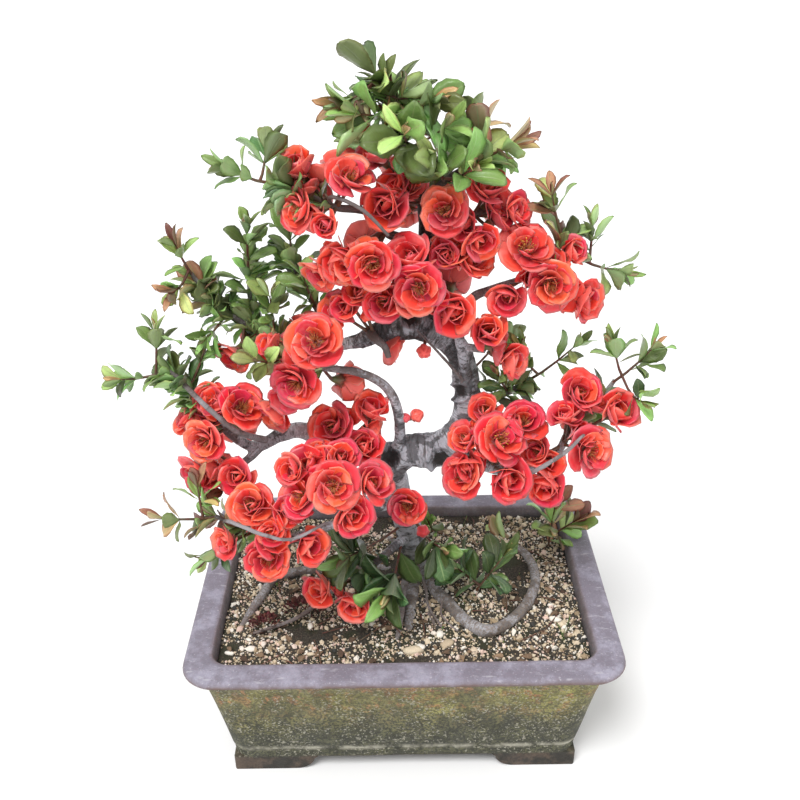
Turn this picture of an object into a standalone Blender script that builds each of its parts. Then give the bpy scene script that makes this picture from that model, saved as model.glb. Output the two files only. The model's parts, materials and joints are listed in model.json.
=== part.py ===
"""A flowering quince bonsai in a rectangular glazed pot, as separate solid pieces.

Metres, +Z up. The pot's feet stand on Z = 0 and its long side faces -Y. The plant is laid out from the middle of
the pot, in millimetres, and the whole is then moved sideways so that the origin lies under the middle of its spread.
"""
import math
import random

import bpy
import bmesh
from mathutils import Matrix, Vector
from mathutils.bvhtree import BVHTree

MM = 0.001
FIT_GAP = 0.0003
SPREAD_SHIFT = Vector((0.0037, 0.0, 0.0))

# Pot
POT_WIDTH = 0.360
POT_DEPTH = 0.255
RIM_CORNER_RADIUS = 0.028
CORNER_STEPS = 3
FOOT_HEIGHT = 0.015
FOOT_LENGTH = 0.076
FOOT_SIDE_LENGTH = 0.060
FOOT_THICKNESS = 0.012
FOOT_INSET = 0.0305
DRAIN_RADIUS = 0.010
DRAIN_SPACING = 0.150
FLOOR_TOP = 0.030
# Outside then inside of the pot's wall: inset from the rim's outer edge, height, loss of corner radius
POT_WALL = (
    (0.0315, 0.0145, 0.012),
    (0.0295, 0.0260, 0.011),
    (0.0280, 0.0280, 0.010),
    (0.0215, 0.0700, 0.009),
    (0.0146, 0.1080, 0.007),
    (0.0110, 0.1200, 0.005),
    (0.0050, 0.1265, 0.002),
    (0.0000, 0.1300, 0.000),
    (0.0012, 0.1338, 0.000),
    (0.0040, 0.1350, 0.001),
    (0.0215, 0.1350, 0.012),
    (0.0235, 0.1335, 0.014),
    (0.0380, 0.0500, 0.017),
    (0.0440, FLOOR_TOP, 0.019),
)

INNER_WALL_START = 11

# Soil
SOIL_TOP = 0.1235
SOIL_MOUND = 0.006
SOIL_MOUND_REACH = 0.085
SOIL_ROUGHNESS = 0.0011
SOIL_COLUMNS = 9
SOIL_ROWS = 6
SPRIGS = ("sprig_bronze", "sprig_green", "sprig_small")
SPRIG_HOLE_RADIUS = 0.0024

# Wood: each route is a list of (across, back, up, radius) in millimetres from the middle of the pot
WOOD_ROUTES = {
    "trunk": ((12, 14, 106, 18), (11, 12, 143, 14), (4, 8, 192, 12), (-5, 4, 229, 12), (-8, 0, 256, 13),
              (7, -2, 271, 14), (30, -4, 273, 15), (48, -4, 290, 13), (53, -2, 314, 11), (51, 0, 338, 10.5),
              (45, 2, 360, 10), (30, 4, 375, 10.5), (11, 4, 382, 11), (-5, 2, 381, 10), (-22, 0, 377, 8),
              (-33, -2, 371, 6)),
    "leader": ((31, 4, 374, 9), (27, 8, 402, 7), (22, 12, 430, 6), (19, 14, 450, 5.5), (18, 16, 470, 5),
               (15, 18, 485, 4.5), (5, 20, 502, 4), (0, 20, 522, 3.5), (-2, 20, 544, 3), (-11, 20, 560, 2.4),
               (-17, 20, 568, 1.8)),
    "leader_fork": ((19, 17, 480, 3.2), (32, 10, 494, 2.6), (48, 4, 507, 2.2), (57, 0, 516, 1.6)),
    "crown_left": ((21, 13, 443, 4.5), (3, 0, 454, 4), (-10, -10, 463, 3.5), (-23, -15, 480, 3),
                   (-45, -20, 485, 2.6), (-58, -20, 491, 2.3), (-74, -20, 499, 2), (-92, -20, 504, 1.6)),
    "crown_right": ((20, 14, 450, 4), (36, 2, 464, 3.2), (54, -6, 475, 2.6), (70, -8, 482, 2)),
    "right_upper": ((51, -3, 330, 5.5), (48, -13, 362, 4.4), (44, -16, 383, 4), (45, -18, 402, 3.8),
                    (53, -18, 415, 3.5), (69, -15, 421, 3), (92, -10, 427, 2.5), (109, -5, 437, 2.1),
                    (122, -2, 444, 1.8), (134, 0, 437, 1.6)),
    "right_upper_fork": ((108, -5, 436, 2.1), (116, -3, 446, 1.8), (119, -2, 455, 1.6)),
    "spur": ((47, -14, 372, 3.6), (56, -16, 372, 3), (64, -18, 371, 2.2)),
    "inner_left": ((-2, -4, 270, 5.5), (-2, -16, 308, 4.2), (-8, -22, 336, 3.8), (-21, -26, 352, 3.4),
                   (-38, -28, 360, 3), (-58, -30, 364, 2.6), (-77, -26, 369, 2.1), (-90, -20, 368, 1.6)),
    "left_main": ((-6, -2, 264, 9.5), (-34, -8, 282, 8.5), (-62, -14, 291, 7.5), (-81, -18, 302, 6.5),
                  (-97, -22, 300, 5.5), (-116, -26, 292, 4.5), (-132, -28, 302, 3.6), (-150, -28, 326, 3),
                  (-166, -26, 350, 2.4), (-180, -24, 361, 1.8)),
    "left_low": ((-112, -26, 293, 4), (-125, -34, 283, 3.2), (-140, -38, 277, 2.2)),
    "left_mid": ((-30, -2, 373, 6), (-60, 0, 367, 4), (-87, 4, 370, 3.4), (-111, 6, 379, 3),
                 (-132, 6, 393, 2.6), (-147, 6, 408, 2.2), (-158, 6, 427, 1.6)),
    "left_mid_up": ((-115, 6, 380, 2.6), (-116, 10, 403, 2), (-116, 12, 426, 1.6)),
    "left_mid_back": ((-50, 0, 368, 3.6), (-65, 12, 393, 2.6), (-78, 18, 416, 2), (-82, 20, 430, 1.6)),
    "low_left": ((-4, 2, 216, 6), (-26, -20, 226, 4.8), (-47, -42, 230, 4.2), (-68, -56, 232, 3.6),
                 (-92, -64, 230, 3.1), (-106, -68, 242, 2.8), (-121, -70, 248, 2.4), (-134, -70, 251, 2),
                 (-146, -70, 257, 1.6)),
    "low_mid": ((-8, 0, 248, 6), (-26, -22, 258, 4.6), (-42, -42, 266, 3.8), (-58, -58, 272, 3.2),
                (-74, -64, 280, 2.4)),
    "low_front": ((6, 4, 178, 5), (-9, -14, 178, 3.8), (-27, -30, 172, 3.2), (-44, -40, 165, 2.4)),
    "right_low": ((40, -5, 274, 8), (62, -16, 268, 6), (84, -22, 264, 4.8), (103, -26, 269, 4),
                  (124, -26, 283, 3.4), (132, -24, 299, 3), (144, -20, 311, 2.6), (160, -14, 329, 2.2),
                  (168, -10, 340, 1.7)),
    "right_back": ((53, -2, 318, 5), (72, 8, 315, 3.6), (90, 12, 319, 2.6), (104, 14, 327, 1.9)),
    "root_loop": ((14, 10, 116, 7), (26, -8, 127, 6.5), (38, -28, 129, 6), (51, -50, 129, 5.6),
                  (70, -65, 129, 5.4), (92, -52, 128, 5), (110, -29, 128, 4.8), (121, 2, 128, 4.4),
                  (118, 36, 127, 4), (105, 58, 123, 3.4), (96, 70, 117, 2.8)),
    "root_front": ((11, 8, 124, 7), (9, -14, 128, 6), (6, -38, 127, 5.2), (4, -58, 123, 4.4), (3, -72, 115, 3.4)),
    "root_thin": ((12, 4, 122, 3.4), (17, -20, 127, 2.6), (23, -42, 126, 2.4), (30, -62, 122, 2)),
    "root_right": ((16, 16, 120, 8), (34, 24, 127, 6.4), (50, 14, 126, 4.6), (66, 4, 119, 3)),
    "root_left": ((6, 14, 118, 7), (-26, 22, 126, 5.4), (-66, 22, 126, 4.8), (-112, 12, 127, 4.4),
                  (-128, -20, 127, 4), (-140, -48, 121, 3)),
    "root_back": ((12, 18, 118, 8), (2, 44, 126, 5.6), (-14, 68, 124, 4), (-26, 84, 116, 3)),
}
ROUTE_STEPS = {"trunk": 2}
THICK_WOOD = 9.9
MIDDLE_WOOD = 5.2
# Knots and old cuts: (across, back, up, radius) in millimetres
WOOD_KNOTS = ((-9, -9, 262, 9), (22, -14, 276, 9), (2, -8, 386, 8), (24, -3, 382, 9), (44, -10, 300, 7),
              (6, 2, 208, 9), (20, 8, 128, 13))

# Bunches: where the spur sits on the wood, then each bloom as (across, back, up, radius, cup angle)
BUNCHES = {
    "crown_left": ((-45, -20, 485), ((-35, -30, 507, 18, 14), (-68, -31, 487, 17, 18), (-68, -12, 506, 14, 52),
                                     (-50, -43, 481, 10, 50), (-42, 2, 503, 15, 35), (-62, 2, 480, 15, 30))),
    "crown": ((17, 17, 474), ((-12, 2, 512, 17, 40), (-8, -14, 486, 17, 50), (5, -2, 492, 14, 30),
                              (4, 44, 492, 17, 25), (34, 42, 470, 17, 20), (8, 46, 462, 15, 25))),
    "crown_right": ((50, -4, 473), ((31, -28, 484, 18, 10), (59, -13, 494, 17, 25), (78, -11, 478, 15, 30),
                                    (54, -28, 465, 15, 35), (68, 16, 470, 17, 25))),
    "heart_right": ((22, 12, 436), ((49, -20, 445, 17, 25), (32, -24, 452, 12, 40), (42, 38, 432, 17, 20))),
    "heart_left": ((-10, -10, 463), ((-38, -36, 457, 16, 50), (-55, -34, 446, 15, 30), (-20, -50, 455, 19, 18),
                                     (-26, 16, 446, 16, 25))),
    "heart": ((25, 10, 414), ((8, -30, 448, 17, 45), (12, -48, 436, 19, 10), (-12, -38, 422, 16, 30),
                              (37, -28, 411, 17, 50))),
    "heart_back": ((27, 8, 402), ((4, 36, 414, 18, 25), (40, 38, 400, 17, 25), (18, 40, 388, 15, 25))),
    "heart_low": ((-21, 0, 378), ((-7, -16, 362, 17, 35), (-46, -28, 410, 15, 12), (-31, -34, 426, 12, 35),
                                  (-26, -34, 408, 6, 90))),
    "right_upper": ((94, -10, 428), ((88, -28, 455, 21, 10), (106, -36, 433, 19, 15), (78, -24, 421, 16, 35),
                                     (120, -14, 448, 11, 52), (130, -20, 415, 16, 40), (108, 16, 427, 17, 20))),
    "spur": ((62, -18, 371), ((64, -26, 389, 14, 50), (77, -24, 367, 14, 50))),
    "left_mid": ((-64, -30, 365), ((-62, -52, 396, 21, 12), (-76, -54, 366, 20, 14), (-48, -20, 348, 17, 35),
                                   (-93, -32, 382, 11, 52), (-94, -36, 336, 16, 45), (-70, -4, 384, 16, 25))),
    "left_back": ((-122, 6, 386), ((-127, -8, 368, 15, 30), (-118, 28, 368, 15, 25))),
    "left": ((-138, -28, 309), ((-122, -42, 336, 19, 15), (-146, -34, 340, 13, 30), (-165, -30, 319, 13, 25),
                                (-149, -48, 313, 18, 20), (-135, 2, 294, 18, 20))),
    "left_low": ((-130, -36, 281), ((-158, -46, 282, 18, 18), (-127, -56, 284, 15, 40), (-156, -28, 294, 7, 90),
                                    (-148, -18, 262, 15, 25))),
    "middle": ((-46, -11, 287), ((-52, -34, 314, 20, 25), (-25, -24, 318, 15, 50), (-30, -38, 297, 16, 40))),
    "low_mid": ((-56, -56, 271), ((-80, -74, 302, 14, 35), (-64, -58, 303, 13, 30), (-47, -64, 304, 14, 30),
                                  (-74, -88, 286, 18, 20), (-52, -90, 298, 20, 12), (-26, -74, 287, 18, 30),
                                  (-41, -88, 272, 18, 30), (-62, -30, 258, 17, 25))),
    "low_left": ((-106, -68, 242), ((-88, -86, 274, 13, 30), (-114, -84, 276, 18, 25), (-99, -98, 262, 11, 30),
                                    (-103, -96, 238, 19, 25), (-131, -86, 246, 14, 35), (-76, -90, 246, 16, 45),
                                    (-118, -44, 232, 16, 25))),
    "low_front": ((-42, -39, 166), ((-64, -54, 173, 16, 45), (-40, -56, 160, 15, 52))),
    "trunk_foot": ((4, 2, 208), ((4, -30, 236, 17, 20), (17, -24, 204, 8, 80))),
    "right_low": ((73, -20, 266), ((49, -46, 276, 19, 18), (80, -54, 281, 18, 50), (73, -52, 311, 22, 8),
                                   (94, -36, 316, 18, 25), (50, -36, 302, 14, 30), (66, -24, 320, 14, 35),
                                   (82, 14, 266, 18, 25))),
    "right_tip": ((127, -26, 289), ((126, -38, 320, 12, 52), (143, -46, 298, 21, 12), (115, -46, 271, 17, 50),
                                    (136, -26, 336, 18, 30), (162, -34, 322, 16, 50), (108, -42, 294, 14, 30),
                                    (142, 6, 292, 18, 20))),
}
VIEWER_PULL = Vector((0.0, -0.62, 0.30))
SPUR_MARGIN = 2.8
SPUR_REACH = 13.0
SPUR_CAP = 4.5
STALK_DEPTH = 0.8
THICK_SPUR_RADIUS = 6.0

# Leafy shoots: where the first stem leaves the wood, the tips of its stems, leaves a stem, leaf length, tone
SHOOTS = {
    "apex": ((-16, 20, 567), ((-26, 12, 592), (-38, 6, 572), (6, 8, 588)), 5, 24, "bronze"),
    "apex_mid": ((-2, 19, 545), ((20, -6, 566), (-27, -6, 546)), 6, 29, "green"),
    "apex_low": ((1, 19, 515), ((30, -14, 538), (2, -30, 538)), 6, 31, "green"),
    "apex_back": ((2, 20, 508), ((8, 66, 530), (-22, 56, 512)), 5, 28, "green"),
    "crown_front": ((32, 10, 494), ((24, -32, 520), (48, -34, 516)), 4, 28, "green"),
    "crown_right": ((55, 1, 514), ((77, -8, 525), (54, 4, 536)), 4, 25, "bronze"),
    "crown_left": ((-90, -20, 503), ((-116, -26, 515), (-92, -14, 524)), 5, 23, "green"),
    "left_mid": ((-157, 6, 425), ((-165, 0, 450), (-168, -12, 420)), 5, 22, "bronze"),
    "left_mid_up": ((-116, 12, 424), ((-114, 10, 460),), 8, 22, "green"),
    "left_mid_back": ((-82, 20, 428), ((-84, 20, 458),), 7, 22, "green"),
    "left_mid_side": ((-98, 5, 374), ((-98, -10, 414),), 7, 22, "green"),
    "left_mid_low": ((-134, 6, 395), ((-146, -20, 386),), 6, 21, "green"),
    "heart_left": ((-66, 13, 395), ((-72, -14, 432),), 6, 21, "green"),
    "left_tip": ((-178, -24, 360), ((-212, -32, 357), (-184, -20, 390)), 6, 22, "green"),
    "left_fork": ((-163, -26, 346), ((-150, -16, 374),), 7, 20, "green"),
    "rosette": ((-87, -22, 368), ((-104, -60, 386),), 6, 22, "pale"),
    "low_left_tip": ((-144, -70, 256), ((-182, -84, 266), (-156, -70, 284)), 6, 23, "bronze"),
    "low_left_down": ((-122, -70, 248), ((-150, -88, 232),), 5, 23, "green"),
    "foot_left": ((-1, 2, 190), ((-44, -56, 204),), 6, 30, "dark"),
    "foot_down": ((0, -2, 180), ((-10, -56, 170),), 5, 33, "dark"),
    "foot_right": ((14, 4, 186), ((32, -32, 192),), 5, 24, "dark"),
    "right_tip": ((166, -11, 338), ((200, -20, 371), (164, -12, 370), (180, -44, 340)), 5, 23, "green"),
    "right_mid": ((102, 14, 326), ((136, 4, 362), (94, -2, 364)), 6, 22, "green"),
    "right_mid_low": ((88, 12, 318), ((76, -10, 345),), 4, 20, "green"),
    "right_upper_top": ((119, -2, 453), ((108, -6, 488),), 7, 24, "bronze"),
    "right_upper_tip": ((133, 0, 438), ((160, -12, 433), (142, 6, 460)), 5, 23, "green"),
    "sprig_bronze": ((141, 54, 118), ((143, 50, 176), (160, 46, 158)), 5, 24, "bronze"),
    "sprig_green": ((66, -14, 118), ((87, -20, 172), (48, -18, 158)), 5, 24, "dark"),
    "sprig_small": ((30, 74, 118), ((24, 66, 150),), 5, 14, "green"),
    "back_left": ((-62, 0, 367), ((-84, 40, 352),), 6, 22, "green"),
    "back_right": ((52, 2, 340), ((84, 44, 352),), 6, 22, "green"),
}
AIM_TURNS = (0, 20, -20, 40, -40, 60)
AIM_RISES = (0, 12, -14, 22)
AIM_SIZES = (1.0, 0.88, 0.75, 0.6)
TEST_MARGIN = 0.4

TONES = {
    "green": ((0.075, 0.155, 0.035, 1.0), 0.42),
    "dark": ((0.035, 0.095, 0.030, 1.0), 0.40),
    "pale": ((0.190, 0.270, 0.080, 1.0), 0.45),
    "bronze": ((0.130, 0.105, 0.045, 1.0), 0.42),
}


def clear_scene():
    for obj in list(bpy.data.objects):
        bpy.data.objects.remove(obj, do_unlink=True)


def new_collection(name):
    collection = bpy.data.collections.new(name)
    bpy.context.scene.collection.children.link(collection)
    return collection


def material(name, colour, roughness, metallic=0.0):
    mat = bpy.data.materials.new(name)
    mat.use_nodes = True
    shader = mat.node_tree.nodes["Principled BSDF"]
    shader.inputs["Base Color"].default_value = colour
    shader.inputs["Roughness"].default_value = roughness
    shader.inputs["Metallic"].default_value = metallic
    mat.diffuse_color = colour
    return mat


def object_from(name, verts, faces, collection):
    mesh = bpy.data.meshes.new(name)
    mesh.from_pydata([tuple(v) for v in verts], [], faces)
    mesh.validate()
    obj = bpy.data.objects.new(name, mesh)
    collection.objects.link(obj)
    return obj


def finish(obj, mat, angle=40.0):
    obj.data.materials.clear()
    obj.data.materials.append(mat)
    obj.data.shade_smooth()
    obj.data.set_sharp_from_angle(angle=math.radians(angle))


# Rings of points are joined into closed skins. Each ring is a list of (point, turn), where a turn runs from 0 to 1
# round the ring, so that two rings of unlike counts are joined point by point in the order of their turns.
def zip_rings(lower, upper):
    """Triangles between two rings of (index, turn)."""
    if len(lower) == 1:
        return [(lower[0][0], upper[(j + 1) % len(upper)][0], upper[j][0]) for j in range(len(upper))]
    if len(upper) == 1:
        return [(lower[i][0], lower[(i + 1) % len(lower)][0], upper[0][0]) for i in range(len(lower))]

    def turn_of(ring, k):
        return ring[k % len(ring)][1] + k // len(ring)

    first = min(range(-len(upper), len(upper)), key=lambda k: abs(turn_of(upper, k) - lower[0][1]))
    i = 0
    j = first
    faces = []
    while i < len(lower) or j < first + len(upper):
        low_span = abs(turn_of(lower, i + 1) - turn_of(upper, j)) if i < len(lower) else math.inf
        up_span = abs(turn_of(lower, i) - turn_of(upper, j + 1)) if j < first + len(upper) else math.inf
        if low_span < up_span:
            faces.append((lower[i % len(lower)][0], lower[(i + 1) % len(lower)][0], upper[j % len(upper)][0]))
            i += 1
        else:
            faces.append((lower[i % len(lower)][0], upper[(j + 1) % len(upper)][0], upper[j % len(upper)][0]))
            j += 1
    return faces


def skin(rings):
    """One closed skin from the stalk's end to the middle of the bloom."""
    verts = []
    indexed = []
    for ring in rings:
        indexed.append([(len(verts) + i, turn) for i, (_, turn) in enumerate(ring)])
        verts.extend(point for point, _ in ring)
    faces = []
    if len(rings[0]) > 1:
        faces.append(tuple(index for index, _ in reversed(indexed[0])))
    for lower, upper in zip(indexed, indexed[1:]):
        faces.extend(zip_rings(lower, upper))
    return verts, faces


def union(name, objects, collection, solver="EXACT"):
    """Joins closed meshes into one with a single Boolean on a collection, and removes them."""
    if len(objects) == 1:
        objects[0].name = name
        return objects[0]
    base = objects[0]
    helpers = bpy.data.collections.new(name + "_parts")
    bpy.context.scene.collection.children.link(helpers)
    for obj in objects[1:]:
        for owner in list(obj.users_collection):
            owner.objects.unlink(obj)
        helpers.objects.link(obj)
    modifier = base.modifiers.new("join", "BOOLEAN")
    modifier.operation = "UNION"
    modifier.operand_type = "COLLECTION"
    modifier.collection = helpers
    modifier.solver = solver
    joined = applied(name, base, collection)
    for obj in objects:
        bpy.data.objects.remove(obj, do_unlink=True)
    bpy.data.collections.remove(helpers)
    return joined


def applied(name, obj, collection):
    graph = bpy.context.evaluated_depsgraph_get()
    mesh = bpy.data.meshes.new_from_object(obj.evaluated_get(graph))
    result = bpy.data.objects.new(name, mesh)
    result.matrix_world = obj.matrix_world
    collection.objects.link(result)
    return result


def cut(obj, cutter, collection, solver="EXACT"):
    modifier = obj.modifiers.new("cut", "BOOLEAN")
    modifier.operation = "DIFFERENCE"
    modifier.object = cutter
    modifier.solver = solver
    name = obj.name
    obj.name = name + "_uncut"
    result = applied(name, obj, collection)
    bpy.data.objects.remove(obj, do_unlink=True)
    return result


def keep_largest(obj):
    """Drops the loose scraps that a cut leaves, and keeps the largest body of a mesh."""
    bm = bmesh.new()
    bm.from_mesh(obj.data)
    bm.faces.ensure_lookup_table()
    seen = set()
    islands = []
    for start in bm.faces:
        if start.index in seen:
            continue
        island = []
        stack = [start]
        seen.add(start.index)
        while stack:
            face = stack.pop()
            island.append(face)
            for edge in face.edges:
                for other in edge.link_faces:
                    if other.index not in seen:
                        seen.add(other.index)
                        stack.append(other)
        islands.append(island)
    islands.sort(key=len)
    for island in islands[:-1]:
        bmesh.ops.delete(bm, geom=island, context="FACES")
    bm.to_mesh(obj.data)
    bm.free()


def rounded_rectangle(inset, height, corner_loss):
    half_x = POT_WIDTH / 2 - inset
    half_y = POT_DEPTH / 2 - inset
    radius = RIM_CORNER_RADIUS - corner_loss
    points = []
    for corner, (sx, sy) in enumerate(((1, 1), (-1, 1), (-1, -1), (1, -1))):
        centre = Vector((sx * (half_x - radius), sy * (half_y - radius), height))
        for step in range(CORNER_STEPS + 1):
            angle = math.radians(90 * corner + 90 * step / CORNER_STEPS)
            points.append(centre + Vector((radius * math.cos(angle), radius * math.sin(angle), 0)))
    return points


def foot_outline(length):
    """One leg of a cloud foot from the side: a straight toe, a curled inner end and a flat top."""
    points = [(0.0, 0.0), (length * 0.72, 0.0)]
    for step in range(1, 4):
        angle = math.radians(-90 + 90 * step / 3)
        points.append((length * 0.72 + length * 0.20 * math.cos(angle),
                       FOOT_HEIGHT * 0.72 * (1 + math.sin(angle))))
    points.append((length, FOOT_HEIGHT + 0.001))
    points.append((0.0, FOOT_HEIGHT + 0.001))
    return points


def foot_leg(name, length, sign_x, sign_y, along_x, collection):
    corner_x = sign_x * (POT_WIDTH / 2 - FOOT_INSET)
    corner_y = sign_y * (POT_DEPTH / 2 - FOOT_INSET)
    outline = foot_outline(length)
    verts = []
    for depth in (0.0, FOOT_THICKNESS):
        for run, height in outline:
            if along_x:
                verts.append((corner_x - sign_x * run, corner_y - sign_y * depth, height))
            else:
                verts.append((corner_x - sign_x * depth, corner_y - sign_y * run, height))
    count = len(outline)
    faces = [tuple(range(count)), tuple(range(2 * count - 1, count - 1, -1))]
    for i in range(count):
        j = (i + 1) % count
        faces.append((i, i + count, j + count, j))
    obj = object_from(name, verts, faces, collection)
    make_outward(obj)
    return obj


def make_outward(obj):
    bm = bmesh.new()
    bm.from_mesh(obj.data)
    bmesh.ops.recalc_face_normals(bm, faces=bm.faces)
    bm.to_mesh(obj.data)
    bm.free()


def closed_rings(name, rings, collection):
    """Rings of equal count joined by quads, with the first and last ring filled."""
    count = len(rings[0])
    verts = [point for ring in rings for point in ring]
    faces = []
    for level in range(len(rings) - 1):
        for i in range(count):
            j = (i + 1) % count
            faces.append((level * count + i, level * count + j, (level + 1) * count + j, (level + 1) * count + i))
    faces.append(tuple(reversed(range(count))))
    faces.append(tuple(range((len(rings) - 1) * count, len(rings) * count)))
    obj = object_from(name, verts, faces, collection)
    make_outward(obj)
    return obj


def build_pot(parts, cutters):
    body = closed_rings("pot_body", [rounded_rectangle(*level) for level in POT_WALL], cutters)
    pieces = [body]
    for sign_x in (-1, 1):
        for sign_y in (-1, 1):
            tag = "foot_%d_%d" % (sign_x, sign_y)
            pieces.append(foot_leg(tag + "_a", FOOT_LENGTH, sign_x, sign_y, True, cutters))
            pieces.append(foot_leg(tag + "_b", FOOT_SIDE_LENGTH, sign_x, sign_y, False, cutters))
    pot = union("pot", pieces, parts)
    for side in (-1, 1):
        bpy.ops.mesh.primitive_cylinder_add(vertices=12, radius=DRAIN_RADIUS, depth=0.05,
                                            location=(side * DRAIN_SPACING / 2, 0, 0.02))
        drill = bpy.context.active_object
        pot = cut(pot, drill, parts)
        bpy.data.objects.remove(drill, do_unlink=True)
    finish(pot, material("pot_stoneware", (0.150, 0.125, 0.110, 1.0), 0.75), 30.0)
    return pot


def soil_height(x, y):
    """The ground inside the pot: a low mound about the trunk, with a seeded roughness added by the caller."""
    reach = math.hypot(x - 12 * MM, y - 12 * MM) / SOIL_MOUND_REACH
    return SOIL_TOP + SOIL_MOUND * math.exp(-reach * reach)


def inner_inset(height):
    """Inset of the pot's inner wall at a height, from the wall's own profile."""
    inside = [(level[1], level[0], level[2]) for level in POT_WALL[INNER_WALL_START:]]
    for (z_high, inset_high, loss_high), (z_low, inset_low, loss_low) in zip(inside, inside[1:]):
        if z_low <= height <= z_high:
            blend = (height - z_low) / (z_high - z_low)
            return (inset_low + (inset_high - inset_low) * blend, loss_low + (loss_high - loss_low) * blend)
    return inside[-1][1], inside[-1][2]


def build_soil(parts, cutters, wood_guide):
    """A block that fills the pot with a small gap, its top a grid raised by the mound and a seeded roughness."""
    rings = []
    for height in (FLOOR_TOP + FIT_GAP, 0.050, SOIL_TOP - 0.004, SOIL_TOP + 0.022):
        inset, loss = inner_inset(min(height, 0.1300))
        rings.append(rounded_rectangle(inset + FIT_GAP * 1.2, height, loss))
    block = closed_rings("soil", rings, cutters)
    draw = random.Random(11)
    half_x = POT_WIDTH / 2
    half_y = POT_DEPTH / 2
    verts = []
    for row in range(SOIL_ROWS + 1):
        for column in range(SOIL_COLUMNS + 1):
            x = -half_x + POT_WIDTH * column / SOIL_COLUMNS
            y = -half_y + POT_DEPTH * row / SOIL_ROWS
            verts.append(Vector((x, y, soil_height(x, y) + draw.uniform(-1, 1) * SOIL_ROUGHNESS)))
    base = len(verts)
    verts.extend([Vector((-half_x, -half_y, 0.2)), Vector((half_x, -half_y, 0.2)),
                  Vector((half_x, half_y, 0.2)), Vector((-half_x, half_y, 0.2))])
    faces = []
    stride = SOIL_COLUMNS + 1
    for row in range(SOIL_ROWS):
        for column in range(SOIL_COLUMNS):
            a = row * stride + column
            faces.append((a, a + stride, a + stride + 1))
            faces.append((a, a + stride + 1, a + 1))
    front = list(range(stride))
    back = [SOIL_ROWS * stride + column for column in range(stride)]
    left = [row * stride for row in range(SOIL_ROWS + 1)]
    right = [row * stride + SOIL_COLUMNS for row in range(SOIL_ROWS + 1)]
    faces.append(tuple(front) + (base + 1, base))
    faces.append(tuple(reversed(back)) + (base + 3, base + 2))
    faces.append(tuple(reversed(left)) + (base, base + 3))
    faces.append(tuple(right) + (base + 2, base + 1))
    faces.append((base, base + 1, base + 2, base + 3))
    lid = object_from("soil_lid", verts, faces, cutters)
    make_outward(lid)
    soil = cut(block, lid, parts)
    soil = cut(soil, wood_guide, parts)
    for start in (SHOOTS[name][0] for name in SPRIGS):
        depth = 0.03
        bpy.ops.mesh.primitive_cylinder_add(vertices=8, radius=SPRIG_HOLE_RADIUS, depth=depth)
        drill = bpy.context.active_object
        drill.location = Vector(start) * MM + Vector((0, 0, depth / 2 - FIT_GAP))
        bpy.context.view_layer.update()
        soil = cut(soil, drill, parts)
        bpy.data.objects.remove(drill, do_unlink=True)
    keep_largest(soil)
    bpy.data.objects.remove(lid, do_unlink=True)
    finish(soil, material("soil_gravel", (0.330, 0.270, 0.190, 1.0), 0.95), 30.0)
    return soil


def smooth_route(points, steps):
    """Points along a smooth curve through a route's own points, with the radius eased between them."""
    if steps == 1:
        return [tuple(point) for point in points]
    result = []
    count = len(points)
    for i in range(count - 1):
        p0 = points[max(i - 1, 0)]
        p1 = points[i]
        p2 = points[i + 1]
        p3 = points[min(i + 2, count - 1)]
        for step in range(steps):
            t = step / steps
            values = []
            for a, b, c, d in zip(p0, p1, p2, p3):
                values.append(0.5 * (2 * b + (c - a) * t + (2 * a - 5 * b + 4 * c - d) * t * t
                                     + (3 * b - a - 3 * c + d) * t * t * t))
            result.append(tuple(values))
    result.append(tuple(points[-1]))
    return result


def tube(name, route, resolution, collection, extra=0.0):
    """A tube of varying radius along a route in millimetres, as a mesh with welded caps."""
    points = [list(point) for point in route]
    if extra:
        tip = Vector(points[-1][:3])
        before = Vector(points[-2][:3])
        points[-1][:3] = tip + (tip - before).normalized() * extra
    curve = bpy.data.curves.new(name, "CURVE")
    curve.dimensions = "3D"
    curve.bevel_depth = MM
    curve.bevel_resolution = resolution
    curve.use_fill_caps = True
    spline = curve.splines.new("POLY")
    spline.points.add(len(points) - 1)
    for target, (x, y, z, radius) in zip(spline.points, points):
        target.co = (x * MM, y * MM, z * MM, 1.0)
        target.radius = radius + extra
    holder = bpy.data.objects.new(name + "_curve", curve)
    collection.objects.link(holder)
    result = applied(name, holder, collection)
    bpy.data.objects.remove(holder, do_unlink=True)
    bm = bmesh.new()
    bm.from_mesh(result.data)
    bmesh.ops.remove_doubles(bm, verts=bm.verts, dist=0.00001)
    bmesh.ops.recalc_face_normals(bm, faces=bm.faces)
    bm.to_mesh(result.data)
    bm.free()
    return result


def route_sides(route):
    """Bevel resolution by the thickest place: 8, 6 or 4 sides."""
    widest = max(point[3] for point in route)
    return 2 if widest > THICK_WOOD else 1 if widest > MIDDLE_WOOD else 0


def knot(name, centre, radius, collection):
    bpy.ops.mesh.primitive_ico_sphere_add(subdivisions=1, radius=radius * MM,
                                          location=Vector(centre) * MM, rotation=(0.3, 0.5, 0.2))
    obj = bpy.context.active_object
    obj.name = name
    for owner in list(obj.users_collection):
        owner.objects.unlink(obj)
    collection.objects.link(obj)
    bpy.context.view_layer.update()
    obj.data.transform(obj.matrix_world)
    obj.matrix_world = Matrix.Identity(4)
    return obj


def build_wood(name, collection, extra=0.0):
    """Trunk, branches and roots as one solid. With extra, a slightly fatter copy that neighbours are cut by."""
    pieces = []
    for route_name, route in WOOD_ROUTES.items():
        path = smooth_route(route, ROUTE_STEPS.get(route_name, 1))
        pieces.append(tube("wood_" + route_name, path, route_sides(route), collection, extra))
    for index, (x, y, z, radius) in enumerate(WOOD_KNOTS):
        pieces.append(knot("knot_%d" % index, (x, y, z), radius + extra, collection))
    return union(name, pieces, collection)


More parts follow.
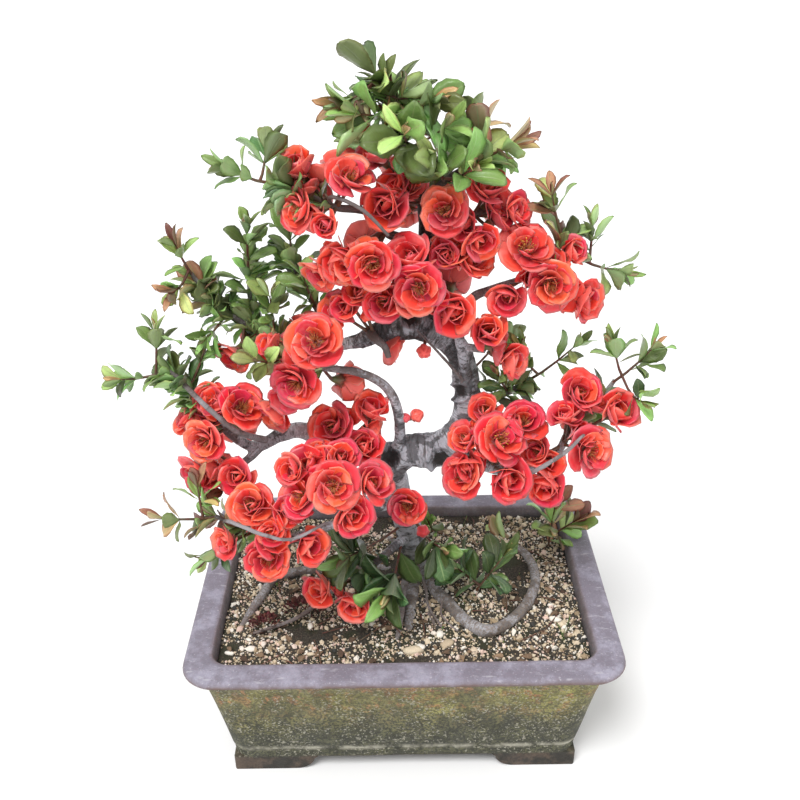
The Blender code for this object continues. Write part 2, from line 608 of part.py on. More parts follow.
def frame_about(direction, turn):
    """Two unit vectors across a direction, turned about it."""
    ahead = direction.normalized()
    side = ahead.cross(Vector((0, 0, 1)))
    if side.length < 0.05:
        side = ahead.cross(Vector((0, 1, 0)))
    side.normalize()
    lift = side.cross(ahead)
    across = side * math.cos(turn) + lift * math.sin(turn)
    return across, ahead.cross(across)


def petal_ring(centre, axes, reach, cup, petals, outline, start=0.0):
    """The lobed rim of one layer of petals: outline holds (part of a petal's width, part of reach, extra cup)."""
    across, beside, ahead = axes
    ring = []
    for petal in range(petals):
        for part, share, lift in outline:
            turn = start + (petal + part) / petals
            rise = math.radians(cup + lift)
            flat = across * math.cos(turn * math.tau) + beside * math.sin(turn * math.tau)
            ring.append((centre + (flat * math.cos(rise) + ahead * math.sin(rise)) * reach * share, turn))
    return ring


OUTER_RICH = ((0.0, 0.70, 2), (0.22, 0.98, 10), (0.5, 1.04, 0), (0.78, 0.94, -7))
OUTER_PLAIN = ((0.0, 0.68, 2), (0.28, 1.02, 9), (0.72, 0.97, -6))
INNER_RICH = ((0.0, 0.48, 0), (0.30, 0.66, 7), (0.70, 0.63, -5))
INNER_PLAIN = ((0.0, 0.46, 0), (0.5, 0.66, 4))
INNER_LIFT = 32
RICH_RADIUS = 20
SINGLE_RADIUS = 16.2
STALK_RADIUS = 1.0


ROUND = ((0.0, 1.0, 0.0),)


def stalk_ring(spur, centre, axes):
    """The end of a stalk: a small triangle across the way to its bloom, in step with the bloom's own rings."""
    ahead = (centre - spur).normalized()
    across = axes[0] - ahead * axes[0].dot(ahead)
    if across.length < 0.2:
        across = axes[1] - ahead * axes[1].dot(ahead)
    across.normalize()
    return petal_ring(spur, (across, ahead.cross(across), ahead), STALK_RADIUS, 0, 3, ROUND)


def bloom_rings(centre, radius, cup, facing, spur, turn):
    """A double bloom as a skin: stalk, back and front of the outer petals, back and front of the inner ones."""
    across, beside = frame_about(facing, turn)
    ahead = facing.normalized()
    axes = (across, beside, ahead)
    rich = radius >= RICH_RADIUS
    outer = OUTER_RICH if rich else OUTER_PLAIN
    inner = INNER_RICH if rich else INNER_PLAIN
    inner_cup = cup + INNER_LIFT * (1 - cup / 110)
    neck = radius * (0.08 + 0.15 * math.cos(math.radians(cup)))
    inner_reach = radius * (1.0 if cup < 40 else 0.85)
    rings = [
        stalk_ring(spur, centre, axes),
        petal_ring(centre - ahead * radius * 0.24, axes, radius * 0.17, 0, 5, ROUND),
        petal_ring(centre, axes, radius, cup, 5, outer),
    ]
    if radius > SINGLE_RADIUS:
        rings.append(petal_ring(centre + ahead * radius * 0.06, axes, neck, 0, 5, ROUND))
        rings.append(petal_ring(centre + ahead * radius * 0.04, axes, inner_reach, inner_cup, 5, inner, -0.1))
    rings.append([(centre + ahead * radius * 0.16, 0.0)])
    return rings


def bud_rings(centre, radius, facing, spur):
    across, beside = frame_about(facing, 0)
    ahead = facing.normalized()
    axes = (across, beside, ahead)
    return [
        stalk_ring(spur, centre, axes),
        petal_ring(centre - ahead * radius * 0.7, axes, radius * 0.55, 0, 5, ROUND),
        petal_ring(centre + ahead * radius * 0.1, axes, radius, 0, 5, ROUND),
        [(centre + ahead * radius * 1.1, 0.0)],
    ]


def nearest_wood(point):
    """The nearest place on the wood's routes: the route, the distance along it, the place and its radius."""
    best = None
    for route in WOOD_ROUTES.values():
        run = 0.0
        for start, end in zip(route, route[1:]):
            a = Vector(start[:3])
            b = Vector(end[:3])
            along = max(0.0, min(1.0, (point - a).dot(b - a) / (b - a).length_squared))
            place = a.lerp(b, along)
            radius = start[3] + (end[3] - start[3]) * along
            distance = (point - place).length
            if best is None or distance < best[0]:
                best = (distance, route, run + (b - a).length * along, place, radius)
            run += (b - a).length
    return best[1:]


def stretch_of(route, low, high):
    """The part of a route between two distances along it, as its own short route."""
    result = []
    run = 0.0
    for start, end in zip(route, route[1:]):
        a = Vector(start)
        b = Vector(end)
        length = (b - a).xyz.length
        for mark in (low, high):
            if run <= mark < run + length:
                result.append((mark, tuple(a.lerp(b, (mark - run) / length))))
        if low < run + length < high:
            result.append((run + length, tuple(b)))
        run += length
    result.sort()
    return [point for _, point in result]


def stalk_root(route, point):
    """Where a bloom's stalk ends: inside the sleeve's wall, on the side of the twig that faces the bloom."""
    best = None
    for start, end in zip(route, route[1:]):
        a = Vector(start[:3])
        b = Vector(end[:3])
        along = max(0.0, min(1.0, (point - a).dot(b - a) / (b - a).length_squared))
        place = a.lerp(b, along)
        if best is None or (point - place).length < best[0]:
            radius = start[3] + (end[3] - start[3]) * along
            best = ((point - place).length, place, (b - a).normalized(), radius)
    _, place, along, radius = best
    away = point - place
    away = (away - along * away.dot(along)).normalized()
    return place + away * (radius + STALK_DEPTH if radius > 0 else 0.0)


def route_length(route):
    return sum((Vector(b[:3]) - Vector(a[:3])).length for a, b in zip(route, route[1:]))


def build_spur(spur_at, blooms, collection):
    """A sleeve of bud scales about a twig, or a knob on thick wood, with the line that its blooms grow from."""
    route, run, place, radius = nearest_wood(Vector(spur_at))
    if radius > THICK_SPUR_RADIUS:
        middle = sum((Vector(row[:3]) for row in blooms), Vector()) / len(blooms)
        place = place + (middle - place).normalized() * radius
        core = knot("spur", place, THICK_SPUR_RADIUS, collection)
        ahead = (middle - place).normalized()
        return core, [tuple(place) + (0,), tuple(place + ahead) + (0,)]
    high = min(run + SPUR_REACH, route_length(route) - 1.0)
    low = max(min(run - SPUR_REACH, high - SPUR_REACH), 1.0)
    axis = stretch_of(route, low, high)
    sleeve = [(x, y, z, wood + SPUR_MARGIN) for x, y, z, wood in axis]
    if high > route_length(route) - 4.0:
        tip = Vector(sleeve[-1][:3])
        beyond = tip + (tip - Vector(sleeve[-2][:3])).normalized() * SPUR_CAP
        sleeve.append(tuple(beyond) + (sleeve[-1][3] * 0.8,))
    core = tube("spur", sleeve, route_sides(route), collection)
    inner_low = low + 2.0
    return core, stretch_of(route, inner_low, max(high - 2.0, inner_low + 1.0))


def bloom_facing(centre, spur):
    outward = (centre - spur).normalized()
    if centre.y > spur.y + 8:
        return (outward + Vector((0, 0.25, 0.25))).normalized()
    facing = (outward + VIEWER_PULL).normalized()
    if facing.dot(outward) < 0.45:
        facing = (facing + outward).normalized()
    return facing


def tree_of(verts, faces):
    return BVHTree.FromPolygons([tuple(v) for v in verts], faces)


def tree_of_object(obj):
    return BVHTree.FromPolygons([tuple(v.co) for v in obj.data.vertices],
                                [tuple(p.vertices) for p in obj.data.polygons])


def is_inside(tree, point):
    """True where a ray from the point leaves the tree's closed solid an odd number of times."""
    direction = Vector((0.31, 0.47, 0.83)).normalized()
    start = point
    crossings = 0
    while True:
        place, _, _, _ = tree.ray_cast(start, direction)
        if place is None:
            return crossings % 2 == 1
        crossings += 1
        start = place + direction * 0.00001


def is_clear(verts, faces, trees):
    """True where a closed skin neither crosses nor lies inside any of the trees."""
    probe = tree_of(verts, faces)
    for tree in trees:
        if probe.overlap(tree) or is_inside(tree, verts[0]) or is_inside(tree, verts[-1]):
            return False
    return True


def crosses_itself(verts, faces):
    """True where two faces of a skin that share no corner meet."""
    tree = tree_of(verts, faces)
    return any(not set(faces[a]) & set(faces[b]) for a, b in tree.overlap(tree))


def build_bunches(parts, cutters, wood_guide, solids):
    petal_red = material("petal_red", (0.700, 0.045, 0.035, 1.0), 0.55)
    for index, (bunch_name, (spur_at, blooms)) in enumerate(BUNCHES.items()):
        draw = random.Random(100 + index)
        core, axis = build_spur(spur_at, blooms, cutters)
        pieces = [core]
        trees = [tree_of_object(obj) for obj in solids]
        for x, y, z, radius, cup in blooms:
            turn = draw.uniform(0, math.tau)
            sway = Vector((draw.uniform(-1, 1), draw.uniform(-1, 1), draw.uniform(-1, 1))) * 0.18
            fitted = None
            spur = stalk_root(axis, Vector((x, y, z)))
            outward = (Vector((x, y, z)) - spur).normalized()
            for attempt in range(20):
                size = radius * (1.0 - 0.05 * (attempt % 5))
                centre = Vector((x, y, z)).lerp(spur, 0.12 * (attempt // 10))
                facing = (bloom_facing(centre, spur) + sway + outward * 0.5 * (attempt // 5 % 2)).normalized()
                for straighten in range(6):
                    rings = bud_rings(centre, size, facing, spur) if cup >= 80 else bloom_rings(
                        centre, size, cup, facing, spur, turn)
                    verts, faces = skin(rings)
                    if not crosses_itself([v * MM for v in verts], faces):
                        break
                    facing = (facing + outward * 0.35).normalized()
                root = centre - facing * size * 0.3
                grown = bud_rings(centre, size + TEST_MARGIN, facing, root) if cup >= 80 else bloom_rings(
                    centre, size + TEST_MARGIN, cup, facing, root, turn)
                test_verts, test_faces = skin(grown)
                if is_clear([v * MM for v in test_verts], test_faces, trees):
                    fitted = verts
                    break
            if fitted is None:
                continue
            pieces.append(object_from("bloom", [v * MM for v in fitted], faces, cutters))
        bunch = union("blooms_" + bunch_name, pieces, parts)
        keep_largest(bunch)
        bunch = cut(bunch, wood_guide, parts)
        keep_largest(bunch)
        finish(bunch, petal_red, 50.0)
        solids.append(bunch)


# Leaves: each whorl is one lobed rim about the stem, four points a leaf: the notch, a side, the tip, a side
LEAF_SIDE_RUN = 0.62
LEAF_HALF_WIDTH = 0.24
LEAF_NOTCH = 0.15
LEAF_FOLD = 0.10
LEAF_WAVE = 0.05
LEAF_CURL = 0.16
LEAF_ROOT_DEPTH = 0.9
STEM_RADIUS = 1.2
STEM_SAG = 4.0
STEM_FORK = 0.25
SPRIG_FORK = 0.42
SPRIG_RISE = 12.0
TOP_WHORL = 3


def leaf_point(node, axes, turn, rise, run, across_run, lift):
    """A point of a leaf that leaves the stem at a turn about it and rises from its side at an angle."""
    across, beside, ahead = axes
    flat = across * math.cos(turn * math.tau) + beside * math.sin(turn * math.tau)
    side = beside * math.cos(turn * math.tau) - across * math.sin(turn * math.tau)
    along = flat * math.cos(rise) + ahead * math.sin(rise)
    up = ahead * math.cos(rise) - flat * math.sin(rise)
    return node + along * run + side * across_run + up * lift


def whorl_ring(node, axes, leaves, start):
    """The lobed rim of a whorl: leaves holds (turn, rise, length) for each leaf."""
    ring = []
    for i, (turn, rise, length) in enumerate(leaves):
        before = leaves[i - 1][0] - (1 if i == 0 else 0)
        notch_turn = (before + turn) / 2
        half = length * LEAF_HALF_WIDTH
        run = length * LEAF_SIDE_RUN
        fold = length * LEAF_FOLD - length * LEAF_CURL * LEAF_SIDE_RUN ** 2
        step = 0.08
        ring.append((leaf_point(node, axes, notch_turn, rise, length * LEAF_NOTCH, 0, 0), notch_turn + start))
        ring.append((leaf_point(node, axes, turn, rise, run, -half, fold + length * LEAF_WAVE),
                     turn - step + start))
        ring.append((leaf_point(node, axes, turn, rise, length, 0, -length * LEAF_CURL), turn + start))
        ring.append((leaf_point(node, axes, turn, rise, run, half, fold - length * LEAF_WAVE),
                     turn + step + start))
    return ring


def stem_frame(along):
    across, beside = frame_about(along, 0)
    return across, beside, along


def shoot_rings(route, whorls, grow, upright):
    """A leafy stem as one skin: rings up the stem with a whorl's rim between each pair."""
    side = stem_frame((route[-1] - route[-2]).normalized())[0]
    ahead = (route[1] - route[0]).normalized()
    axes = (side, ahead.cross(side), ahead)
    rings = []
    for foot in route[:2] if upright else route[:1]:
        rings.append(petal_ring(foot, axes, STEM_RADIUS + grow, 0, 3, ROUND))
    for t, leaves in whorls:
        place, along = route_place(route, t)
        axes = stem_frame(along)
        low = place - along * (LEAF_ROOT_DEPTH + grow)
        high = place + along * (LEAF_ROOT_DEPTH + grow)
        radius = STEM_RADIUS * (1.1 - 0.5 * t) + grow
        rings.append(petal_ring(low, axes, radius, 0, 3, ROUND))
        rings.append(whorl_ring(place, axes, leaves, 0.0))
        rings.append(petal_ring(high, axes, radius * 0.9, 0, 3, ROUND))
    rings.append([(high + along * STEM_RADIUS * 0.8, 0.0)])
    return rings


def sprig_route(start, tip):
    """A stem that rises straight out of its hole in the soil and then leans to its tip."""
    top = start + Vector((0, 0, SPRIG_RISE))
    return [start, top, top.lerp(tip, 0.5), tip]


def stem_route(start, tip, sag):
    """A short stem that sags between its start and its tip."""
    middle = start.lerp(tip, 0.5) - Vector((0, 0, sag))
    route = []
    for t in (0.0, 0.35, 0.7, 1.0):
        route.append(start * (1 - t) ** 2 + middle * 2 * t * (1 - t) + tip * t * t)
    return route


def route_place(route, t):
    """A point and a direction part of the way along a route."""
    span = t * (len(route) - 1)
    i = min(int(span), len(route) - 2)
    return route[i].lerp(route[i + 1], span - i), (route[i + 1] - route[i]).normalized()


def draw_whorls(count, length, draw):
    """Whorls up a stem: leaves are shared out among them, fold in towards the tip and vary by a seeded draw."""
    levels = 1 if count <= TOP_WHORL else 2 if count <= TOP_WHORL + 4 else 3
    whorls = []
    left = count
    phase = draw.uniform(0, 1)
    for level in range(levels):
        t = 1.0 - 0.34 * (levels - 1 - level)
        here = TOP_WHORL if level == levels - 1 else max(3, round((left - TOP_WHORL) / (levels - 1 - level)))
        left -= here
        leaves = []
        for i in range(here):
            turn = (i + draw.uniform(-0.12, 0.12)) / here + (phase if level % 2 else phase + 0.5 / here) % 1.0
            rise = math.radians(62 - 12 * (levels - 1 - level) - (24 if levels == 1 else 0) + draw.uniform(-9, 9))
            size = length * (1.0 - 0.22 * (level == levels - 1)) * draw.uniform(0.85, 1.12)
            leaves.append((turn, rise, size))
        whorls.append((t, leaves))
    return whorls


def turned_whorls(whorls, extra, share, raise_by):
    return [(t, [(turn + extra, rise + math.radians(raise_by), size * share) for turn, rise, size in leaves])
            for t, leaves in whorls]


def fit_shoot(route, whorls, trees, wood_tree, upright):
    """The first way of turning, lifting or shrinking a stem's leaves that clears the pieces about it."""
    for share in AIM_SIZES:
        for raise_by in AIM_RISES:
            for extra in AIM_TURNS:
                tried = turned_whorls(whorls, extra / 360, share, raise_by)
                verts, faces = skin(shoot_rings(route, tried, 0.0, upright))
                if crosses_itself([v * MM for v in verts], faces):
                    continue
                whole, whole_faces = skin(shoot_rings(route, tried, TEST_MARGIN, upright))
                beyond = [route[0].lerp(route[1], 0.6)] + route[1:]
                free, free_faces = skin(shoot_rings(beyond, tried, TEST_MARGIN, upright))
                if not is_clear([v * MM for v in whole], whole_faces, trees):
                    continue
                if is_clear([v * MM for v in free], free_faces, [wood_tree]):
                    return verts, faces
    return None


def build_shoots(parts, cutters, wood, wood_guide, solids):
    wood_tree = tree_of_object(wood)
    greens = {tone: material("leaf_" + tone, colour, rough) for tone, (colour, rough) in TONES.items()}
    for index, (shoot_name, (start, tips, count, length, tone)) in enumerate(SHOOTS.items()):
        draw = random.Random(300 + index)
        trees = [tree_of_object(obj) for obj in solids]
        pieces = []
        in_soil = shoot_name in SPRIGS
        for stem_index, tip in enumerate(tips):
            if stem_index == 0:
                first_route = sprig_route(Vector(start), Vector(tip)) if in_soil else stem_route(
                    Vector(start), Vector(tip), STEM_SAG)
                route = first_route
            else:
                fork = route_place(first_route, SPRIG_FORK if in_soil else STEM_FORK)[0]
                route = stem_route(fork, Vector(tip), 0.0 if in_soil else STEM_SAG * (1 + 0.5 * stem_index))
            whorls = draw_whorls(count, length, draw)
            fitted = fit_shoot(route, whorls, trees, wood_tree, in_soil and stem_index == 0)
            if fitted is None:
                continue
            verts, faces = fitted
            pieces.append(object_from("stem", [v * MM for v in verts], faces, cutters))
        if not pieces:
            continue
        shoot = union("leaves_" + shoot_name, pieces, parts)
        shoot = cut(shoot, wood_guide, parts)
        keep_largest(shoot)
        finish(shoot, greens[tone], 50.0)
        solids.append(shoot)


def main():
    clear_scene()
    parts = new_collection("flowering_quince_bonsai")
    cutters = new_collection("cutters")
    pot = build_pot(parts, cutters)
    wood = build_wood("trunk_branches_roots", parts)
    finish(wood, material("bark", (0.120, 0.105, 0.095, 1.0), 0.85), 45.0)
    wood_guide = build_wood("wood_guide", cutters, 0.45)
    soil = build_soil(parts, cutters, wood_guide)
    solids = [pot, soil]
    build_bunches(parts, cutters, wood_guide, solids)
    build_shoots(parts, cutters, wood, wood_guide, solids)
    wood_guide.hide_render = True
    wood_guide.display_type = "WIRE"
    for obj in parts.objects:
        obj.location = SPREAD_SHIFT


main()
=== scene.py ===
"""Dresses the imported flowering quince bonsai: pot, soil, gravel, wood, blooms, leaves and the studio.

The plant is laid out in millimetres from the middle of the pot, by the same rows and rules as its solids.
"""

from functools import partial
import json
import math
import random

import bmesh
import bpy
import numpy as np
from mathutils import Euler, Matrix, Vector, noise

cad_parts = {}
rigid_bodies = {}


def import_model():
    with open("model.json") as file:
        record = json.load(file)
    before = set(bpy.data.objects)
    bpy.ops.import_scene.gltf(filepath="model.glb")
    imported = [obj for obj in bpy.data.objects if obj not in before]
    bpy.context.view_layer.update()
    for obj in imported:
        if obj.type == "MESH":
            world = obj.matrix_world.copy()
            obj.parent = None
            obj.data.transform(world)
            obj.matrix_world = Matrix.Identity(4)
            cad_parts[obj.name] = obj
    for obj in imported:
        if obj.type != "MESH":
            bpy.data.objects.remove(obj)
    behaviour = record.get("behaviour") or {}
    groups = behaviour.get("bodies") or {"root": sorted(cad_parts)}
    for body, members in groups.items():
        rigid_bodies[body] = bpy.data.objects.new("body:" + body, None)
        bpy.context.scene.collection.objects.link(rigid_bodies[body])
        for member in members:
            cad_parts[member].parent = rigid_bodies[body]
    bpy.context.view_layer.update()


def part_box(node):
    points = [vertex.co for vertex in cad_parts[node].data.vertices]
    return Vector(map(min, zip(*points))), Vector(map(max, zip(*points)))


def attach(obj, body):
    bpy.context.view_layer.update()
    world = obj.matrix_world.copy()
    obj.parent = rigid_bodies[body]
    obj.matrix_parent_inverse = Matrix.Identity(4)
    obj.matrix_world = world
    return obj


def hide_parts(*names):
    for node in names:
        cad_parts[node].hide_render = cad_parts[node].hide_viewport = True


bl_info = {
    "name": "Flowering quince bonsai",
    "version": (1, 0, 0),
    "blender": (4, 5, 0),
    "location": "3D View > Sidebar > Bonsai",
    "description": "Builds the finished pot, soil, wood, blooms and leaves of the bonsai over its frame",
    "category": "Object",
}

MM = 0.001
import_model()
POT_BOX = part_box("pot")
MIDDLE = Vector(((POT_BOX[0][0] + POT_BOX[1][0]) / 2, (POT_BOX[0][1] + POT_BOX[1][1]) / 2, 0.0))
POT_WIDTH = POT_BOX[1][0] - POT_BOX[0][0]
POT_DEPTH = POT_BOX[1][1] - POT_BOX[0][1]
RIM_TOP = POT_BOX[1][2]

# Wood: each route is a list of (across, back, up, radius)
WOOD_ROUTES = {
    "trunk": ((12, 14, 106, 18), (11, 12, 143, 14), (4, 8, 192, 12), (-5, 4, 229, 12), (-8, 0, 256, 13),
              (7, -2, 271, 14), (30, -4, 273, 15), (48, -4, 290, 13), (53, -2, 314, 11), (51, 0, 338, 10.5),
              (45, 2, 360, 10), (30, 4, 375, 10.5), (11, 4, 382, 11), (-5, 2, 381, 10), (-22, 0, 377, 8),
              (-33, -2, 371, 6)),
    "leader": ((31, 4, 374, 9), (27, 8, 402, 7), (22, 12, 430, 6), (19, 14, 450, 5.5), (18, 16, 470, 5),
               (15, 18, 485, 4.5), (5, 20, 502, 4), (0, 20, 522, 3.5), (-2, 20, 544, 3), (-11, 20, 560, 2.4),
               (-17, 20, 568, 1.8)),
    "leader_fork": ((19, 17, 480, 3.2), (32, 10, 494, 2.6), (48, 4, 507, 2.2), (57, 0, 516, 1.6)),
    "crown_left": ((21, 13, 443, 4.5), (3, 0, 454, 4), (-10, -10, 463, 3.5), (-23, -15, 480, 3),
                   (-45, -20, 485, 2.6), (-58, -20, 491, 2.3), (-74, -20, 499, 2), (-92, -20, 504, 1.6)),
    "crown_right": ((20, 14, 450, 4), (36, 2, 464, 3.2), (54, -6, 475, 2.6), (70, -8, 482, 2)),
    "right_upper": ((51, -3, 330, 5.5), (48, -13, 362, 4.4), (44, -16, 383, 4), (45, -18, 402, 3.8),
                    (53, -18, 415, 3.5), (69, -15, 421, 3), (92, -10, 427, 2.5), (109, -5, 437, 2.1),
                    (122, -2, 444, 1.8), (134, 0, 437, 1.6)),
    "right_upper_fork": ((108, -5, 436, 2.1), (116, -3, 446, 1.8), (119, -2, 455, 1.6)),
    "spur": ((47, -14, 372, 3.6), (56, -16, 372, 3), (64, -18, 371, 2.2)),
    "inner_left": ((-2, -4, 270, 5.5), (-2, -16, 308, 4.2), (-8, -22, 336, 3.8), (-21, -26, 352, 3.4),
                   (-38, -28, 360, 3), (-58, -30, 364, 2.6), (-77, -26, 369, 2.1), (-90, -20, 368, 1.6)),
    "left_main": ((-6, -2, 264, 9.5), (-34, -8, 282, 8.5), (-62, -14, 291, 7.5), (-81, -18, 302, 6.5),
                  (-97, -22, 300, 5.5), (-116, -26, 292, 4.5), (-132, -28, 302, 3.6), (-150, -28, 326, 3),
                  (-166, -26, 350, 2.4), (-180, -24, 361, 1.8)),
    "left_low": ((-112, -26, 293, 4), (-125, -34, 283, 3.2), (-140, -38, 277, 2.2)),
    "left_mid": ((-30, -2, 373, 6), (-60, 0, 367, 4), (-87, 4, 370, 3.4), (-111, 6, 379, 3),
                 (-132, 6, 393, 2.6), (-147, 6, 408, 2.2), (-158, 6, 427, 1.6)),
    "left_mid_up": ((-115, 6, 380, 2.6), (-116, 10, 403, 2), (-116, 12, 426, 1.6)),
    "left_mid_back": ((-50, 0, 368, 3.6), (-65, 12, 393, 2.6), (-78, 18, 416, 2), (-82, 20, 430, 1.6)),
    "low_left": ((-4, 2, 216, 6), (-26, -20, 226, 4.8), (-47, -42, 230, 4.2), (-68, -56, 232, 3.6),
                 (-92, -64, 230, 3.1), (-106, -68, 242, 2.8), (-121, -70, 248, 2.4), (-134, -70, 251, 2),
                 (-146, -70, 257, 1.6)),
    "low_mid": ((-8, 0, 248, 6), (-26, -22, 258, 4.6), (-42, -42, 266, 3.8), (-58, -58, 272, 3.2),
                (-74, -64, 280, 2.4)),
    "low_front": ((6, 4, 178, 5), (-9, -14, 178, 3.8), (-27, -30, 172, 3.2), (-44, -40, 165, 2.4)),
    "right_low": ((40, -5, 274, 8), (62, -16, 268, 6), (84, -22, 264, 4.8), (103, -26, 269, 4),
                  (124, -26, 283, 3.4), (132, -24, 299, 3), (144, -20, 311, 2.6), (160, -14, 329, 2.2),
                  (168, -10, 340, 1.7)),
    "right_back": ((53, -2, 318, 5), (72, 8, 315, 3.6), (90, 12, 319, 2.6), (104, 14, 327, 1.9)),
    "root_loop": ((14, 10, 116, 7), (26, -8, 127, 6.5), (38, -28, 129, 6), (51, -50, 129, 5.6),
                  (70, -65, 129, 5.4), (92, -52, 128, 5), (110, -29, 128, 4.8), (121, 2, 128, 4.4),
                  (118, 36, 127, 4), (105, 58, 123, 3.4), (96, 70, 117, 2.8)),
    "root_front": ((11, 8, 124, 7), (9, -14, 128, 6), (6, -38, 127, 5.2), (4, -58, 123, 4.4),
                   (3, -72, 115, 3.4)),
    "root_thin": ((12, 4, 122, 3.4), (17, -20, 127, 2.6), (23, -42, 126, 2.4), (30, -62, 122, 2)),
    "root_right": ((16, 16, 120, 8), (34, 24, 127, 6.4), (50, 14, 126, 4.6), (66, 4, 119, 3)),
    "root_left": ((6, 14, 118, 7), (-26, 22, 126, 5.4), (-66, 22, 126, 4.8), (-112, 12, 127, 4.4),
                  (-128, -20, 127, 4), (-140, -48, 121, 3)),
    "root_back": ((12, 18, 118, 8), (2, 44, 126, 5.6), (-14, 68, 124, 4), (-26, 84, 116, 3)),
}
# Knots and old cuts: (across, back, up, radius)
WOOD_KNOTS = ((-9, -9, 262, 9), (22, -14, 276, 9), (2, -8, 386, 8), (24, -3, 382, 9), (44, -10, 300, 7),
              (6, 2, 208, 9), (20, 8, 128, 13))

# Bunches: where the spur sits on the wood, then each bloom as (across, back, up, radius, cup angle)
BUNCHES = {
    "crown_left": ((-45, -20, 485), ((-35, -30, 507, 18, 14), (-68, -31, 487, 17, 18),
                                     (-68, -12, 506, 14, 52),
                                     (-50, -43, 481, 10, 50), (-42, 2, 503, 15, 35), (-62, 2, 480, 15, 30))),
    "crown": ((17, 17, 474), ((-12, 2, 512, 17, 40), (-8, -14, 486, 17, 50), (5, -2, 492, 14, 30),
                              (4, 44, 492, 17, 25), (34, 42, 470, 17, 20), (8, 46, 462, 15, 25))),
    "crown_right": ((50, -4, 473), ((31, -28, 484, 18, 10), (59, -13, 494, 17, 25), (78, -11, 478, 15, 30),
                                    (54, -28, 465, 15, 35), (68, 16, 470, 17, 25))),
    "heart_right": ((22, 12, 436), ((49, -20, 445, 17, 25), (32, -24, 452, 12, 40), (42, 38, 432, 17, 20))),
    "heart_left": ((-10, -10, 463), ((-38, -36, 457, 16, 50), (-55, -34, 446, 15, 30),
                                     (-20, -50, 455, 19, 18),
                                     (-26, 16, 446, 16, 25))),
    "heart": ((25, 10, 414), ((8, -30, 448, 17, 45), (12, -48, 436, 19, 10), (-12, -38, 422, 16, 30),
                              (37, -28, 411, 17, 50))),
    "heart_back": ((27, 8, 402), ((4, 36, 414, 18, 25), (40, 38, 400, 17, 25), (18, 40, 388, 15, 25))),
    "heart_low": ((-21, 0, 378), ((-12, 2, 371, 17, 35), (-46, -28, 410, 15, 12), (-31, -34, 426, 12, 35),
                                  (-26, -34, 408, 6, 90))),
    "right_upper": ((94, -10, 428), ((88, -28, 455, 21, 10), (106, -36, 433, 19, 15), (78, -24, 421, 16, 35),
                                     (120, -14, 448, 11, 52), (130, -20, 415, 16, 40),
    (108, 16, 427, 17, 20))),
    "spur": ((62, -18, 371), ((64, -26, 389, 14, 50), (77, -24, 367, 14, 50))),
    "left_mid": ((-64, -30, 365), ((-62, -52, 396, 21, 12), (-76, -54, 366, 20, 14), (-48, -20, 348, 17, 35),
                                   (-93, -32, 382, 11, 52), (-94, -36, 336, 16, 45), (-70, -4, 384, 16, 25))),
    "left_back": ((-122, 6, 386), ((-127, -8, 368, 15, 30), (-118, 28, 368, 15, 25))),
    "left": ((-138, -28, 309), ((-122, -42, 336, 19, 15), (-146, -34, 340, 13, 30), (-165, -30, 319, 13, 25),
                                (-149, -48, 313, 18, 20), (-135, 2, 294, 18, 20))),
    "left_low": ((-130, -36, 281), ((-158, -46, 282, 18, 18), (-127, -56, 284, 15, 40),
                                    (-156, -28, 294, 7, 90),
                                    (-148, -18, 262, 15, 25))),
    "middle": ((-46, -11, 287), ((-52, -34, 314, 20, 25), (-25, -24, 318, 15, 50), (-30, -38, 297, 16, 40))),
    "low_mid": ((-56, -56, 271), ((-80, -74, 302, 14, 35), (-64, -58, 303, 13, 30), (-47, -64, 304, 14, 30),
                                  (-74, -88, 286, 18, 20), (-52, -90, 298, 20, 12), (-26, -74, 287, 18, 30),
                                  (-41, -88, 272, 18, 30), (-62, -30, 258, 17, 25))),
    "low_left": ((-106, -68, 242), ((-88, -86, 274, 13, 30), (-114, -84, 276, 18, 25),
                                    (-99, -98, 262, 11, 30),
                                    (-103, -96, 238, 19, 25), (-131, -86, 246, 14, 35),
    (-76, -90, 246, 16, 45),
                                    (-118, -44, 232, 16, 25))),
    "low_front": ((-42, -39, 166), ((-64, -54, 173, 16, 45), (-40, -56, 160, 15, 52))),
    "trunk_foot": ((4, 2, 208), ((4, -30, 236, 17, 20), (17, -24, 204, 8, 80))),
    "right_low": ((73, -20, 266), ((49, -46, 276, 19, 18), (80, -54, 281, 18, 50), (73, -52, 311, 22, 8),
                                   (94, -36, 316, 18, 25), (50, -36, 302, 14, 30), (66, -24, 320, 14, 35),
                                   (82, 14, 266, 18, 25))),
    "right_tip": ((127, -26, 289), ((126, -38, 320, 12, 52), (143, -46, 298, 21, 12), (115, -46, 271, 17, 50),
                                    (136, -26, 336, 18, 30), (162, -34, 322, 16, 50), (108, -42, 294, 14, 30),
                                    (142, 6, 292, 18, 20))),
}
VIEWER_PULL = Vector((0.0, -0.62, 0.30))

